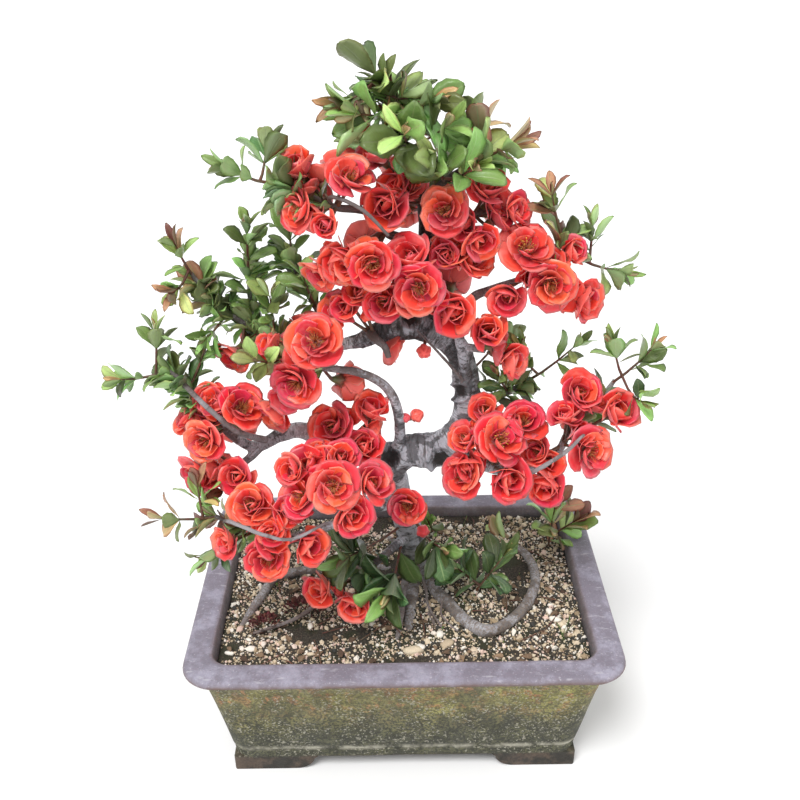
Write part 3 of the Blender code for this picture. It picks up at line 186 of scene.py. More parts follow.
# Leafy shoots: where the first stem leaves the wood, the tips of its stems, leaves a stem, leaf length, tone
SHOOTS = {
    "apex": ((-16, 20, 567), ((-26, 12, 592), (-38, 6, 572), (6, 8, 588)), 5, 24, "bronze"),
    "apex_mid": ((-2, 19, 545), ((20, -6, 566), (-27, -6, 546)), 6, 29, "green"),
    "apex_low": ((1, 19, 515), ((30, -14, 538), (2, -30, 538)), 6, 31, "green"),
    "apex_back": ((2, 20, 508), ((8, 66, 530), (-22, 56, 512)), 5, 28, "green"),
    "crown_front": ((32, 10, 494), ((24, -32, 520), (48, -34, 516)), 4, 28, "green"),
    "crown_right": ((55, 1, 514), ((77, -8, 525), (54, 4, 536)), 4, 25, "bronze"),
    "crown_left": ((-90, -20, 503), ((-116, -26, 515), (-92, -14, 524)), 5, 23, "green"),
    "left_mid": ((-157, 6, 425), ((-165, 0, 450), (-168, -12, 420)), 5, 22, "bronze"),
    "left_mid_up": ((-116, 12, 424), ((-114, 10, 460),), 8, 22, "green"),
    "left_mid_back": ((-82, 20, 428), ((-84, 20, 458),), 7, 22, "green"),
    "left_mid_side": ((-98, 5, 374), ((-98, -10, 414),), 7, 22, "green"),
    "left_mid_low": ((-134, 6, 395), ((-146, -20, 386),), 6, 21, "green"),
    "heart_left": ((-66, 13, 395), ((-72, -14, 432),), 6, 21, "green"),
    "left_tip": ((-178, -24, 360), ((-212, -32, 357), (-184, -20, 390)), 6, 22, "green"),
    "left_fork": ((-163, -26, 346), ((-150, -16, 374),), 7, 20, "green"),
    "rosette": ((-87, -22, 368), ((-104, -60, 386),), 6, 22, "pale"),
    "low_left_tip": ((-144, -70, 256), ((-182, -84, 266), (-156, -70, 284)), 6, 23, "bronze"),
    "low_left_down": ((-122, -70, 248), ((-150, -88, 232),), 5, 23, "green"),
    # The three foot shoots and sprig_green take the dark tone: old leaves' deep green with painted shade from
    # the crown above.
    "foot_left": ((-1, 2, 190), ((-44, -56, 204),), 6, 30, "dark"),
    "foot_down": ((0, -2, 180), ((-10, -56, 170),), 5, 33, "dark"),
    "foot_right": ((14, 4, 186), ((32, -32, 192),), 5, 24, "dark"),
    "right_tip": ((166, -11, 338), ((200, -20, 371), (164, -12, 370), (180, -44, 340)), 5, 23, "green"),
    "right_mid": ((102, 14, 326), ((136, 4, 362), (94, -2, 364)), 6, 22, "green"),
    "right_mid_low": ((88, 12, 318), ((76, -10, 345),), 4, 20, "green"),
    "right_upper_top": ((119, -2, 453), ((108, -6, 488),), 7, 24, "bronze"),
    "right_upper_tip": ((133, 0, 438), ((160, -12, 433), (142, 6, 460)), 5, 23, "green"),
    "sprig_bronze": ((141, 54, 118), ((143, 50, 176), (160, 46, 158)), 5, 24, "bronze"),
    "sprig_green": ((66, -14, 118), ((87, -20, 172), (48, -18, 158)), 5, 24, "dark"),
    "sprig_small": ((30, 74, 118), ((24, 66, 150),), 5, 14, "green"),
    "back_left": ((-62, 0, 367), ((-84, 40, 352),), 6, 22, "green"),
    "back_right": ((52, 2, 340), ((84, 44, 352),), 6, 22, "green"),
}
SPRIGS = ("sprig_bronze", "sprig_green", "sprig_small")

# Pot wall, outside then inside: inset from the rim, height, loss of corner radius, rim share, inside share
RIM_CORNER_RADIUS = 0.028
FOOT_HEIGHT = 0.015
FOOT_INSET = 0.0305
FLOOR_TOP = 0.030
POT_WALL = (
    (0.0320, 0.0145, 0.0120, 0.0, 0.0), (0.0298, 0.0160, 0.0115, 0.0, 0.0),
    (0.0292, 0.0245, 0.0112, 0.0, 0.0),
    (0.0296, 0.0256, 0.0110, 0.0, 0.0), (0.0292, 0.0268, 0.0108, 0.0, 0.0),
    (0.0280, 0.0280, 0.0105, 0.0, 0.0),
    (0.0247, 0.0500, 0.0100, 0.0, 0.0), (0.0214, 0.0700, 0.0090, 0.0, 0.0),
    (0.0180, 0.0900, 0.0080, 0.0, 0.0),
    (0.0146, 0.1080, 0.0070, 0.0, 0.0), (0.0125, 0.1165, 0.0055, 0.1, 0.0),
    (0.0104, 0.1212, 0.0045, 0.3, 0.0),
    (0.0072, 0.1250, 0.0030, 0.8, 0.0), (0.0036, 0.1268, 0.0015, 1.0, 0.0),
    (0.0012, 0.1284, 0.0002, 1.0, 0.0),
    (0.0001, 0.1306, 0.0000, 1.0, 0.0), (0.0007, 0.1328, 0.0001, 1.0, 0.0),
    (0.0024, 0.1344, 0.0006, 1.0, 0.0),
    (0.0050, 0.1350, 0.0015, 1.0, 0.0), (0.0120, 0.1348, 0.0060, 1.0, 0.0),
    (0.0195, 0.1347, 0.0105, 1.0, 0.0),
    (0.0222, 0.1343, 0.0125, 1.0, 0.2), (0.0236, 0.1328, 0.0140, 0.7, 0.8),
    (0.0262, 0.1200, 0.0145, 0.0, 1.0),
    (0.0300, 0.0950, 0.0155, 0.0, 1.0), (0.0380, 0.0500, 0.0170, 0.0, 1.0),
    (0.0440, FLOOR_TOP, 0.0190, 0.0, 1.0),
)
INNER_WALL = ((0.0235, 0.1335, 0.014), (0.0380, 0.0500, 0.017), (0.0440, FLOOR_TOP, 0.019))
DRAIN_RADIUS = 0.010
DRAIN_SPACING = 0.150

SOIL_TOP = 0.1235
SOIL_MOUND = 0.006
SOIL_MOUND_REACH = 0.085
TRUNK_FOOT = (12, 12)

# Dark, leafy-crown wood: these routes have blackish bark
DARK_ROUTES = ("leader", "leader_fork", "crown_left", "crown_right")

# Old pruning cuts on the front of the trunk: (across, back, up, radius)
OLD_CUTS = ((-10, -16, 274, 11), (32, -18, 272, 12), (46, -8, 330, 8), (7, -10, 395, 9))

# Twigs that cross in front of the blooms, two dead snags and the hair roots, as (across, back, up, radius)
FINE_TWIGS = (
    ((-50, -20, 487, 1.8), (-46, -40, 499, 1.5), (-26, -52, 494, 1.3), (-9, -50, 475, 1.1)),
    ((-170, -26, 354, 2.0), (-156, -46, 352, 2.0), (-140, -54, 339, 2.1), (-124, -50, 320, 2.4),
     (-108, -26, 298, 3.0)),
    ((-138, -72, 253, 1.7), (-128, -98, 272, 1.6), (-103, -111, 270, 1.4), (-82, -112, 266, 1.3),
     (-58, -98, 270, 1.1)),
    ((88, -40, 268, 2.0), (96, -62, 287, 1.8), (110, -68, 301, 1.6), (123, -66, 310, 1.5),
     (138, -50, 314, 1.3)),
    ((48, -11, 342, 1.5), (42, -17, 352, 1.2), (28, -18, 370, 1.0), (12, -13, 386, 0.7)),
    ((-24, -4, 381, 4.0), (-20, -13, 380, 3.4), (-13, -17, 375, 2.8), (-10, -19, 366, 2.2)),
    ((12, -2, 152, 1.9), (20, -18, 136, 1.5), (22, -36, 131, 1.2), (34, -60, 126, 0.8)),
    ((6, -4, 150, 3.6), (0, -22, 137, 3.2), (-2, -46, 131, 2.8), (-6, -70, 124, 2.2)),
    ((26, -12, 134, 1.5), (34, -28, 132, 1.2), (33, -46, 130, 1.0), (46, -62, 126, 0.8)),
    ((-60, -10, 131, 1.9), (-78, -34, 131, 1.9), (-96, -50, 130, 1.6), (-128, -62, 127, 1.2)),
)

# Buds that sit singly on the wood, as (across, back, up, radius)
LOOSE_BUDS = ((12, -14, 312, 8.0), (3, -16, 311, 5.5), (17, -20, 372, 8.0))

# The camera: its place from the pot's centre and its angles in radians, as fitted to the photo
CAMERA_PLACE = Vector((-0.00753484, -0.65398413, 0.69065919))
CAMERA_PITCH = 0.51764956
CAMERA_YAW = 0.00953442
CAMERA_ROLL = -0.00685394
SENSOR_WIDTH = 36.0
# The camera's place in whole tenths of a millimetre, which the old cuts face
EYE = Vector((-7.5, -654.0, 690.7))

# Shapes: steps of a swept line, thickness of blades of unit length, and the turn that spreads stamens
SWEEP_STEPS = 24
PETAL_THICKNESS = 0.022
LEAF_THICKNESS = 0.018
GOLDEN_ANGLE = 2.39996
STAMENS = 22
GRAIN_SHAPES = 6

# Pot: points along its sides, steps round a drain, lengths of a foot's legs, and the legs' depths and insets
SIDE_STEPS = (26, 18)
DRAIN_STEPS = 16
FOOT_LEGS = (0.076, 0.060)
LEG_PROFILE = ((0.0, 0.0012), (0.0012, 0.0), (0.0108, 0.0), (0.0120, 0.0012))
SHARP_ANGLE = math.radians(38)
SHAKE_SEED = 1

# Soil: cells of its grid across and back, the height its outline is taken at, and the level of bare patches
SOIL_CELLS = (120, 80)
SOIL_OUTLINE_HEIGHT = 0.122
BARE_LEVEL = 0.40
WALL_GAP = 0.0004

# Wood: routes at least this thick are fused, and thinner ones stay tubes, in millimetres
FUSED_RADIUS = 3.0
TUBE_RADIUS = 3.9
FULL_BARK_RADIUS = 9.0
OLD_BARK_HEIGHT = 334
DUST_HEIGHT = 168.0

# Blooms and leaves: the cup angle from which a bloom is a bud, and limits in millimetres between leaf sizes
BUD_CUP = 80
LOW_LEAVES = 210
HIGH_LEAVES = 500
OUTER_LEAVES = 105
LEAFY_TWIG_RADIUS = 3.5
LEAFY_TWIG_REACH = 46
# The dark tone, given to the low shoots under the crown, is partly painted shade.
TONE_VALUES = {"dark": 0.3, "green": 1.0, "pale": 2.0, "bronze": 2.7}

# Stage: half the floor's side and its drop below the feet, and the point that the lamps face
FLOOR_REACH = 14.0
FLOOR_DROP = 0.0002
LAMP_TARGET = Vector((0, 0, 0.25))

# What a face of a grown piece is, kept as a point attribute that the trees read to set its material
PETAL, STAMEN, CALYX, LEAF, STEM = 0.0, 1.0, 2.0, 3.0, 4.0


# Small helpers

def to_world(point):
    """A point in the plan's millimetres as a place in the frame."""
    return Vector(point) * MM + MIDDLE


def heading(turn, rise=0.0):
    """A direction that points along a turn on the ground, and up by a rise."""
    return Vector((math.cos(turn), math.sin(turn), rise))


def any_way(draw):
    return Vector((draw.uniform(-1, 1), draw.uniform(-1, 1), draw.uniform(-1, 1)))


def node(tree, kind, inputs=None, **settings):
    """A node with its settings and inputs: an input is a value or another node's output."""
    new = tree.nodes.new(kind)
    for key, value in settings.items():
        setattr(new, key, value)
    for key, value in (inputs or {}).items():
        if isinstance(value, bpy.types.NodeSocket):
            tree.links.new(value, new.inputs[key])
        else:
            new.inputs[key].default_value = value
    return new


def made(tree, kind, inputs=None, output=0, **settings):
    """One output of a new node."""
    return node(tree, kind, inputs, **settings).outputs[output]


def attribute(tree, name, kind="FLOAT"):
    """A named attribute in a geometry tree."""
    return made(tree, "GeometryNodeInputNamedAttribute", {"Name": name}, "Attribute", data_type=kind)


def new_tree(kind, name, inputs, outputs):
    """An empty node group with its sockets, each a label, a kind and a value, and its two ends."""
    tree = bpy.data.node_groups.new(name, kind)
    for in_out, sockets in (("INPUT", inputs), ("OUTPUT", outputs)):
        for label, socket_kind, default in sockets:
            socket = tree.interface.new_socket(name=label, in_out=in_out,
                                               socket_type="NodeSocket" + socket_kind)
            if default is not None:
                socket.default_value = default
    return tree, node(tree, "NodeGroupInput").outputs, node(tree, "NodeGroupOutput").inputs


def in_scene(name, data):
    """A new object in the scene."""
    thing = bpy.data.objects.new(name, data)
    bpy.context.scene.collection.objects.link(thing)
    return thing


def piece_from(name, mesh, slot, *nodes):
    """A finished piece of the object: it rides on the root and stands for the named nodes."""
    mesh.name = name
    piece = in_scene(name, mesh)
    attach(piece, "root")
    if nodes:
        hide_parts(*nodes)


def evaluated_mesh(holder):
    """The holder's mesh with its modifiers done, and the holder removed."""
    graph = bpy.context.evaluated_depsgraph_get()
    mesh = bpy.data.meshes.new_from_object(holder.evaluated_get(graph), preserve_all_data_layers=True,
                                           depsgraph=graph)
    source = holder.data
    bpy.data.objects.remove(holder, do_unlink=True)
    bpy.data.meshes.remove(source)
    return mesh


def mesh_from(name, verts, faces, edges=()):
    mesh = bpy.data.meshes.new(name)
    mesh.from_pydata([tuple(v) for v in verts], list(edges), faces)
    mesh.update()
    return mesh


def mesh_of(bm, name):
    """A bmesh as a mesh, and the bmesh freed."""
    mesh = bpy.data.meshes.new(name)
    bm.to_mesh(mesh)
    bm.free()
    return mesh


def put(mesh, kind="FLOAT", **columns):
    """Stores named values on a mesh: one for each point, or a single one for all of them."""
    for name, values in columns.items():
        layer = mesh.attributes.new(name, kind, "POINT")
        flat = np.asarray(values, dtype=np.int32 if kind == "INT" else np.float32)
        if flat.ndim == 0:
            flat = np.repeat(flat, len(mesh.vertices))
        layer.data.foreach_set("vector" if kind == "FLOAT_VECTOR" else "value", flat.ravel())


def turn_outward(mesh):
    bm = bmesh.new()
    bm.from_mesh(mesh)
    bmesh.ops.recalc_face_normals(bm, faces=bm.faces)
    bm.to_mesh(mesh)
    bm.free()


def dress(mesh, material):
    """Gives a mesh one material and smooth shading."""
    mesh.materials.clear()
    mesh.materials.append(material)
    mesh.shade_smooth()


def joined(meshes, name):
    """Several meshes as one, with their materials and attributes kept."""
    holders = [in_scene(name, mesh) for mesh in meshes]
    with bpy.context.temp_override(active_object=holders[0], selected_editable_objects=holders,
                                   selected_objects=holders):
        bpy.ops.object.join()
    mesh = holders[0].data
    bpy.data.objects.remove(holders[0])
    return mesh


def ring_faces(count, rings, first=0):
    """Four-sided faces between rings that follow each other in a list of points."""
    return [(low + k, low + (k + 1) % count, low + count + (k + 1) % count, low + count + k)
            for low in range(first, first + (rings - 1) * count, count) for k in range(count)]


# Shader groups and materials

def blotches_group():
    """A soft-edged mask of irregular blotches of a given size and share."""
    tree, start, end = new_tree("ShaderNodeTree", "quince_blotches", (
        ("Vector", "Vector", None), ("Scale", "Float", 60.0), ("Detail", "Float", 4.0),
        ("Low", "Float", 0.45),
        ("High", "Float", 0.6)), (("Mask", "Float", None),))
    cloud = made(tree, "ShaderNodeTexNoise", {"Vector": start["Vector"], "Scale": start["Scale"],
                                              "Detail": start["Detail"], "Roughness": 0.6}, "Fac")
    mask = made(tree, "ShaderNodeMapRange", {"Value": cloud, "From Min": start["Low"],
                                             "From Max": start["High"]},
                "Result", interpolation_type="SMOOTHSTEP")
    tree.links.new(mask, end["Mask"])


def vary_group():
    """A colour made lighter or darker, and warmer or cooler, by a value between 0 and 1."""
    tree, start, end = new_tree("ShaderNodeTree", "quince_vary", (
        ("Colour", "Color", (0.5, 0.5, 0.5, 1.0)), ("Vary", "Float", 0.5), ("Strength", "Float", 0.3),
        ("Hue Shift", "Float", 0.02)), (("Colour", "Color", None),))
    centred = made(tree, "ShaderNodeMath", {0: start["Vary"], 1: 0.5}, operation="SUBTRACT")
    light, shift = [made(tree, "ShaderNodeMath", {0: centred, 1: start[label], 2: rest},
                         operation="MULTIPLY_ADD")
                    for label, rest in (("Strength", 1.0), ("Hue Shift", 0.5))]
    tinted = made(tree, "ShaderNodeHueSaturation", {"Hue": shift, "Value": light, "Color": start["Colour"]},
                  "Color")
    tree.links.new(tinted, end["Colour"])


class Finish:
    """One material under construction. A colour is a setting's name, a value or a node's output."""

    def __init__(self, name, colours, roughness, **shader_values):
        self.colours = colours
        self.material = bpy.data.materials.new(name)
        self.material.use_nodes = True
        self.tree = self.material.node_tree
        self.made = partial(made, self.tree)
        self.shader = self.tree.nodes["Principled BSDF"]
        self.shader.inputs["Roughness"].default_value = roughness
        for key, value in shader_values.items():
            self.shader.inputs[key.replace("_", " ")].default_value = value
        self.place = self.made("ShaderNodeTexCoord", output="Object")

    def source(self, colour):
        return (*getattr(self.colours, colour), 1.0) if isinstance(colour, str) else colour

    def values(self, *names):
        """The point attributes of these names."""
        return [self.made("ShaderNodeAttribute", output="Fac", attribute_name=name) for name in names]

    def math(self, operation, *values):
        return self.made("ShaderNodeMath", dict(enumerate(values)), operation=operation)

    def times(self, first, *others):
        for value in others:
            first = self.math("MULTIPLY", first, value)
        return first

    def ramp(self, value, low, high, to_low=0.0, to_high=1.0):
        return self.made("ShaderNodeMapRange",
                         {"Value": value, "From Min": low, "From Max": high, "To Min": to_low,
                                                "To Max": to_high}, "Result", interpolation_type="SMOOTHSTEP")

    def stretched(self, *pairs):
        """A place made of three values, each times its own scale."""
        return self.made("ShaderNodeCombineXYZ", {axis: self.times(*pair) for axis, pair in enumerate(pairs)})

    def noise(self, scale, detail=3.0, place=None, roughness=0.6):
        return self.made("ShaderNodeTexNoise",
                         {"Vector": place or self.place, "Scale": scale, "Detail": detail,
                                                "Roughness": roughness}, "Fac")

    def blotches(self, scale, low, high, detail=4.0):
        return self.made("ShaderNodeGroup", {"Vector": self.place, "Scale": scale, "Low": low, "High": high,
                                             "Detail": detail},
                                             node_tree=bpy.data.node_groups["quince_blotches"])

    def mix(self, first, second, share):
        return self.made("ShaderNodeMix", {0: share, 6: self.source(first), 7: self.source(second)}, 2,
                         data_type="RGBA")

    def layers(self, base, *coats):
        """A base under coats, each a colour and the share of it that shows."""
        for colour, share in coats:
            base = self.mix(base, colour, share)
        return base

    def vary(self, colour, value, strength, hue=0.02):
        return self.made("ShaderNodeGroup", {"Colour": self.source(colour), "Vary": value,
                                             "Strength": strength,
                                             "Hue Shift": hue}, node_tree=bpy.data.node_groups["quince_vary"])

    def done(self, colour, relief=None, rough=None):
        """The material with its colour, and with its relief and roughness if given."""
        sources = {"Base Color": colour, "Roughness": rough}
        if relief:
            sources["Normal"] = self.made("ShaderNodeBump",
                                          dict(zip(("Height", "Strength", "Distance"), relief)),
                                          "Normal")
        for label, source in sources.items():
            if source is not None:
                self.tree.links.new(source, self.shader.inputs[label])
        return self.material


def petal_finish(colours):
    make = Finish("quince_petal", colours, 0.4, Subsurface_Weight=0.10, Subsurface_Scale=0.003,
                  Sheen_Weight=0.18,
                  Coat_Weight=0.12, Coat_Roughness=0.30)
    run, side, back, tint, tone = make.values("run", "side", "back", "tint", "tone")
    red = make.mix("petal", "petal_orange", tone)
    # Painted shade: each petal darkens to crimson towards the bloom's heart, where the cupped petals shade
    # each other.
    red = make.mix("petal_deep", red, make.ramp(run, 0.10, 0.78, 0.05, 1.0))
    throat = make.mix("petal_throat", red, make.ramp(run, 0.0, 0.22))
    # Painted highlight: margin and edge mark a pale band along each petal's sides and tip.
    margin = make.times(make.ramp(make.math("ABSOLUTE", side), 0.90, 1.0), run)
    edge = make.math("MAXIMUM", make.ramp(run, 0.90, 1.0), margin)
    veins = make.noise(1.0, 3.0, make.stretched((side, 5.0), (run, 1.2), (tint, 31.0)))
    cloud = make.noise(1.0, 2.0, make.stretched((side, 1.1), (run, 1.9), (tint, 57.0)))
    # Painted highlight: the pale colour along the rim and in soft clouds over the outer half of each petal.
    front = make.layers(throat, ("petal_rim", make.times(edge, 0.20)), (
        "petal_rim", make.times(make.ramp(cloud, 0.46, 0.66), make.ramp(run, 0.35, 0.75), 0.34)))
    pale = make.mix("petal_back", "petal_back_pink", make.ramp(tint, 0.55, 0.8))
    # Painted shade: the petal's back darkens towards its foot, behind the bloom.
    pale = make.mix("petal_deep", pale, make.ramp(run, 0.0, 0.35, 0.35, 1.0))
    # The shared rim points have back at 0.5, so a little of the paler back colour shows there too, adding to
    # the painted rim highlight.
    whole = make.mix(front, pale, make.ramp(back, 0.4, 1.0, 0.0, 0.85))
    whole = make.vary(make.vary(whole, veins, 0.30, 0.010), tint, 0.36, 0.025)
    return make.done(whole, (veins, 0.4, 0.0006), make.ramp(veins, 0.3, 0.7, 0.48, 0.30))


def stamen_finish(colours):
    make = Finish("quince_stamen", colours, 0.6)
    run, tint = make.values("run", "tint")
    thread = make.mix("petal_throat", "filament", make.ramp(run, 0.1, 0.6))
    dust = make.noise(900.0, 2.0)
    fresh = make.times(make.ramp(tint, 0.66, 0.82, 0.16, 1.0), make.ramp(dust, 0.6, 0.4))
    pollen = make.mix("anther_dark", "anther", fresh)
    return make.done(make.mix(thread, pollen, make.ramp(run, 0.94, 0.98)), (dust, 0.3, 0.0002))


def calyx_finish(colours):
    make = Finish("quince_calyx", colours, 0.5)
    run, tint = make.values("run", "tint")
    base = make.vary(make.mix("calyx_green", "calyx", make.ramp(run, 0.2, 0.9)), make.noise(400.0), 0.7)
    return make.done(base, (make.noise(700.0), 0.3, 0.0003), make.ramp(tint, 0.0, 1.0, 0.42, 0.6))


def leaf_finish(colours):
    make = Finish("quince_leaf", colours, 0.4, Coat_Weight=0.12, Coat_Roughness=0.35)
    run, side, back, tint, tone = make.values("run", "side", "back", "tint", "tone")
    middle = make.math("ABSOLUTE", side)
    flush = make.times(make.ramp(tone, 0.9, 2.6), make.ramp(middle, 0.55, 1.0), 0.6)
    slant = make.math("MULTIPLY_ADD", middle, -1.5, make.times(run, 8.5))
    wave = make.math("ABSOLUTE", make.math("SUBTRACT", make.math("FRACT", slant), 0.5))
    rib = make.ramp(middle, 0.02, 0.09, 1.0, 0.0)
    veins = make.math("MAXIMUM", rib, make.times(make.ramp(wave, 0.0, 0.14, 1.0, 0.0), 0.35))
    green = make.layers("leaf_dark", ("leaf_green", make.ramp(tone, 0.0, 1.0)),
                        ("leaf_pale", make.ramp(tone, 1.0, 2.0)), ("leaf_bronze", make.ramp(tone, 2.0, 3.0)),
                        ("leaf_edge", flush), ("leaf_vein", make.times(veins, 0.55)))
    mottle = make.noise(1.0, 4.0, make.stretched((side, 2.0), (run, 4.0), (tint, 23.0)))
    green = make.vary(green, mottle, 0.75, 0.03)
    green = make.mix(green, make.mix(green, "leaf_under", 0.45), make.ramp(back, 0.4, 1.0))
    height = make.math("SUBTRACT", mottle, make.times(veins, 0.8))
    return make.done(make.vary(green, tint, 1.25, 0.05), (height, 0.35, 0.0006),
                     make.ramp(mottle, 0.3, 0.7, 0.46, 0.28))


def stem_finish(colours):
    make = Finish("quince_stem", colours, 0.6)
    grain = make.noise(260.0, 3.0)
    base = make.mix("stem_red", "stem_brown", make.ramp(grain, 0.35, 0.65))
    return make.done(make.vary(base, *make.values("tint"), 0.3), (grain, 0.4, 0.0005))


def bark_finish(colours):
    """Grey bark with pale bands of lenticels that run round the wood, and dark, rough patches."""
    make = Finish("quince_bark", colours, 0.78)
    run, turn, dark, dusty, slim = make.values("bark_run", "bark_turn", "dark", "dusty", "slim")
    cosine, sine = make.math("COSINE", turn), make.math("SINE", turn)
    bands = make.noise(1.0, 5.0, make.stretched((cosine, 1.3), (sine, 1.3), (run, 0.42)))
    dashes = make.noise(1.0, 2.0, make.stretched((cosine, 0.9), (sine, 0.9), (run, 0.95)), 0.5)
    grit = make.noise(700.0, 4.0)
    pale = make.times(make.ramp(dashes, 0.44, 0.60, 0.15, 1.0), make.blotches(34.0, 0.40, 0.56, 5.0), 0.72)
    base = make.layers(
        "bark_dark", ("bark", make.ramp(bands, 0.36, 0.54)), ("bark_light", pale),
        ("bark_black", make.times(make.blotches(60.0, 0.50, 0.56, 7.0), 0.72)),
        ("bark_black", make.times(dark, make.ramp(bands, 0.62, 0.48, 0.30, 0.95))),
        ("bark_black", make.ramp(dark, 0.86, 0.97, 0.0, 0.9)),
        ("soil_dust", make.times(dusty, make.ramp(grit, 0.40, 0.60, 0.35, 1.0))),
        ("young", make.times(slim, 0.62)))
    height = make.math("ADD", make.times(bands, 0.7), make.times(dashes, 0.35))
    height = make.math("ADD", height, make.times(grit, 0.25))
    return make.done(make.vary(base, grit, 0.7), (height, 0.7, 0.0014))


def clay_finish(colours):
    """Unglazed stoneware: a mauve-grey rim with brown edges, partly wear and partly painted shade, walls
    stained by algae and lime, and a near-black inside that is painted shade.
    """
    make = Finish("quince_pot_clay", colours, 0.72)
    times, ramp, blotches = make.times, make.ramp, make.blotches
    rim, inside, edge = make.values("rim", "inside", "edge")
    height = make.made("ShaderNodeSeparateXYZ", {0: make.place}, "Z")
    cloud = make.noise(42.0, 6.0, roughness=0.7)
    streaks = make.noise(1.0, 4.0, make.made("ShaderNodeMapping", {"Vector": make.place,
                                                                   "Scale": (60.0, 210.0, 120.0)}))
    flecks = make.math("MAXIMUM", ramp(streaks, 0.60, 0.70), blotches(520.0, 0.60, 0.68))
    top = make.layers(
        "rim", ("rim_pale", ramp(cloud, 0.42, 0.66)), ("rim_lime", times(flecks, 0.42)),
        ("rim_dark", times(blotches(340.0, 0.60, 0.70), 0.35)),
        # Wear and painted shade: brown on the rim's lower lip and under its overhang, following the edge
        # values.
        ("rim_edge", times(edge, ramp(make.noise(90.0, 4.0), 0.30, 0.62, 0.55, 1.0))))
    up = ramp(height, 0.030, 0.105)
    specks = blotches(460.0, 0.47, 0.54)
    wall = make.layers(
        "body_low", ("body", times(up, ramp(make.noise(30.0, 5.0), 0.30, 0.58, 0.45, 1.0))),
        ("body_yellow", times(blotches(24.0, 0.46, 0.66), up)),
        ("body_rust", times(blotches(55.0, 0.52, 0.64, 6.0), ramp(height, 0.05, 0.118), 0.55)),
        ("body_rust", times(blotches(130.0, 0.56, 0.64, 6.0), ramp(height, 0.05, 0.12))),
        ("body_dark", times(blotches(48.0, 0.46, 0.60, 8.0), ramp(height, 0.118, 0.05, 0.45, 1.0), 0.66)),
        ("body_dark", times(blotches(70.0, 0.46, 0.62, 9.0), ramp(height, 0.115, 0.04, 0.15, 0.75))),
        ("body_dark", times(specks, ramp(height, 0.045, 0.105, 0.95, 0.5))),
        ("body_lime", times(blotches(430.0, 0.55, 0.62), blotches(45.0, 0.38, 0.58), 0.75)),
        ("body_lime", times(ramp(height, 0.0235, 0.027), ramp(height, 0.034, 0.029),
                            blotches(50.0, 0.4, 0.6))))
    foot = make.mix("foot", "foot_brown", blotches(60.0, 0.42, 0.60, 6.0))
    # Painted shade: the inside of the wall and the pot's floors take the near-black inner colour.
    whole = make.layers(foot, (wall, ramp(height, 0.013, 0.019)), ("inner", inside), (top, rim))
    tooth = times(make.math("SUBTRACT", 1.0, times(rim, 0.7)), 0.9)
    for scale, detail in ((120.0, 5.0), (600.0, 3.0)):
        whole = make.vary(whole, make.noise(scale, detail), tooth)
    rough_wall = times(specks, make.math("SUBTRACT", 1.0, rim))
    grain = make.math("ADD", times(make.noise(500.0, 4.0), 0.5), rough_wall)
    return make.done(whole, (grain, 0.5, 0.0009), ramp(cloud, 0.3, 0.7, 0.62, 0.85))


def gravel_finish(colours):
    """Mixed grit: each grain has its own draw, from dark basalt through tan and pink to white quartz."""
    make = Finish("quince_gravel", colours, 0.82)
    tint, = make.values("tint")
    base = make.layers("grain_dark", ("grain_tan", make.ramp(tint, 0.14, 0.24)),
                       ("grain_beige", make.ramp(tint, 0.30, 0.44)),
                       ("grain_pink", make.ramp(tint, 0.66, 0.72)),
                       ("grain_white", make.ramp(tint, 0.76, 0.84)))
    speck = make.noise(1600.0, 2.0)
    return make.done(make.vary(base, speck, 0.9), (speck, 0.5, 0.0004))


def earth_finish(colours):
    make = Finish("quince_earth", colours, 0.95)
    crumb = make.noise(700.0, 5.0)
    base = make.layers("earth", ("earth_pale", make.ramp(crumb, 0.40, 0.70)),
                       ("moss", make.times(make.blotches(34.0, 0.48, 0.60), 0.75)))
    return make.done(make.vary(base, make.noise(1500.0), 0.6), (crumb, 0.9, 0.002))


# Blades: petals, sepals and leaves are thin closed shapes that lie along +X and face +Z

def swept(bend, reflex):
    """The middle line of a blade of unit length that turns up by bend, and back by reflex at its tip."""
    x = z = 0.0
    line = [(0.0, 0.0, 0.0)]
    for step in range(SWEEP_STEPS):
        t = (step + 0.5) / SWEEP_STEPS
        lean = bend * t - reflex * t ** 5
        x += math.cos(lean) / SWEEP_STEPS
        z += math.sin(lean) / SWEEP_STEPS
        line.append((x, z, bend * (step + 1) / SWEEP_STEPS - reflex * ((step + 1) / SWEEP_STEPS) ** 5))
    return line


def on_line(line, t):
    span = min(max(t, 0.0), 1.0) * (len(line) - 1)
    i = min(int(span), len(line) - 2)
    share = span - i
    return [a + (b - a) * share for a, b in zip(line[i], line[i + 1])]


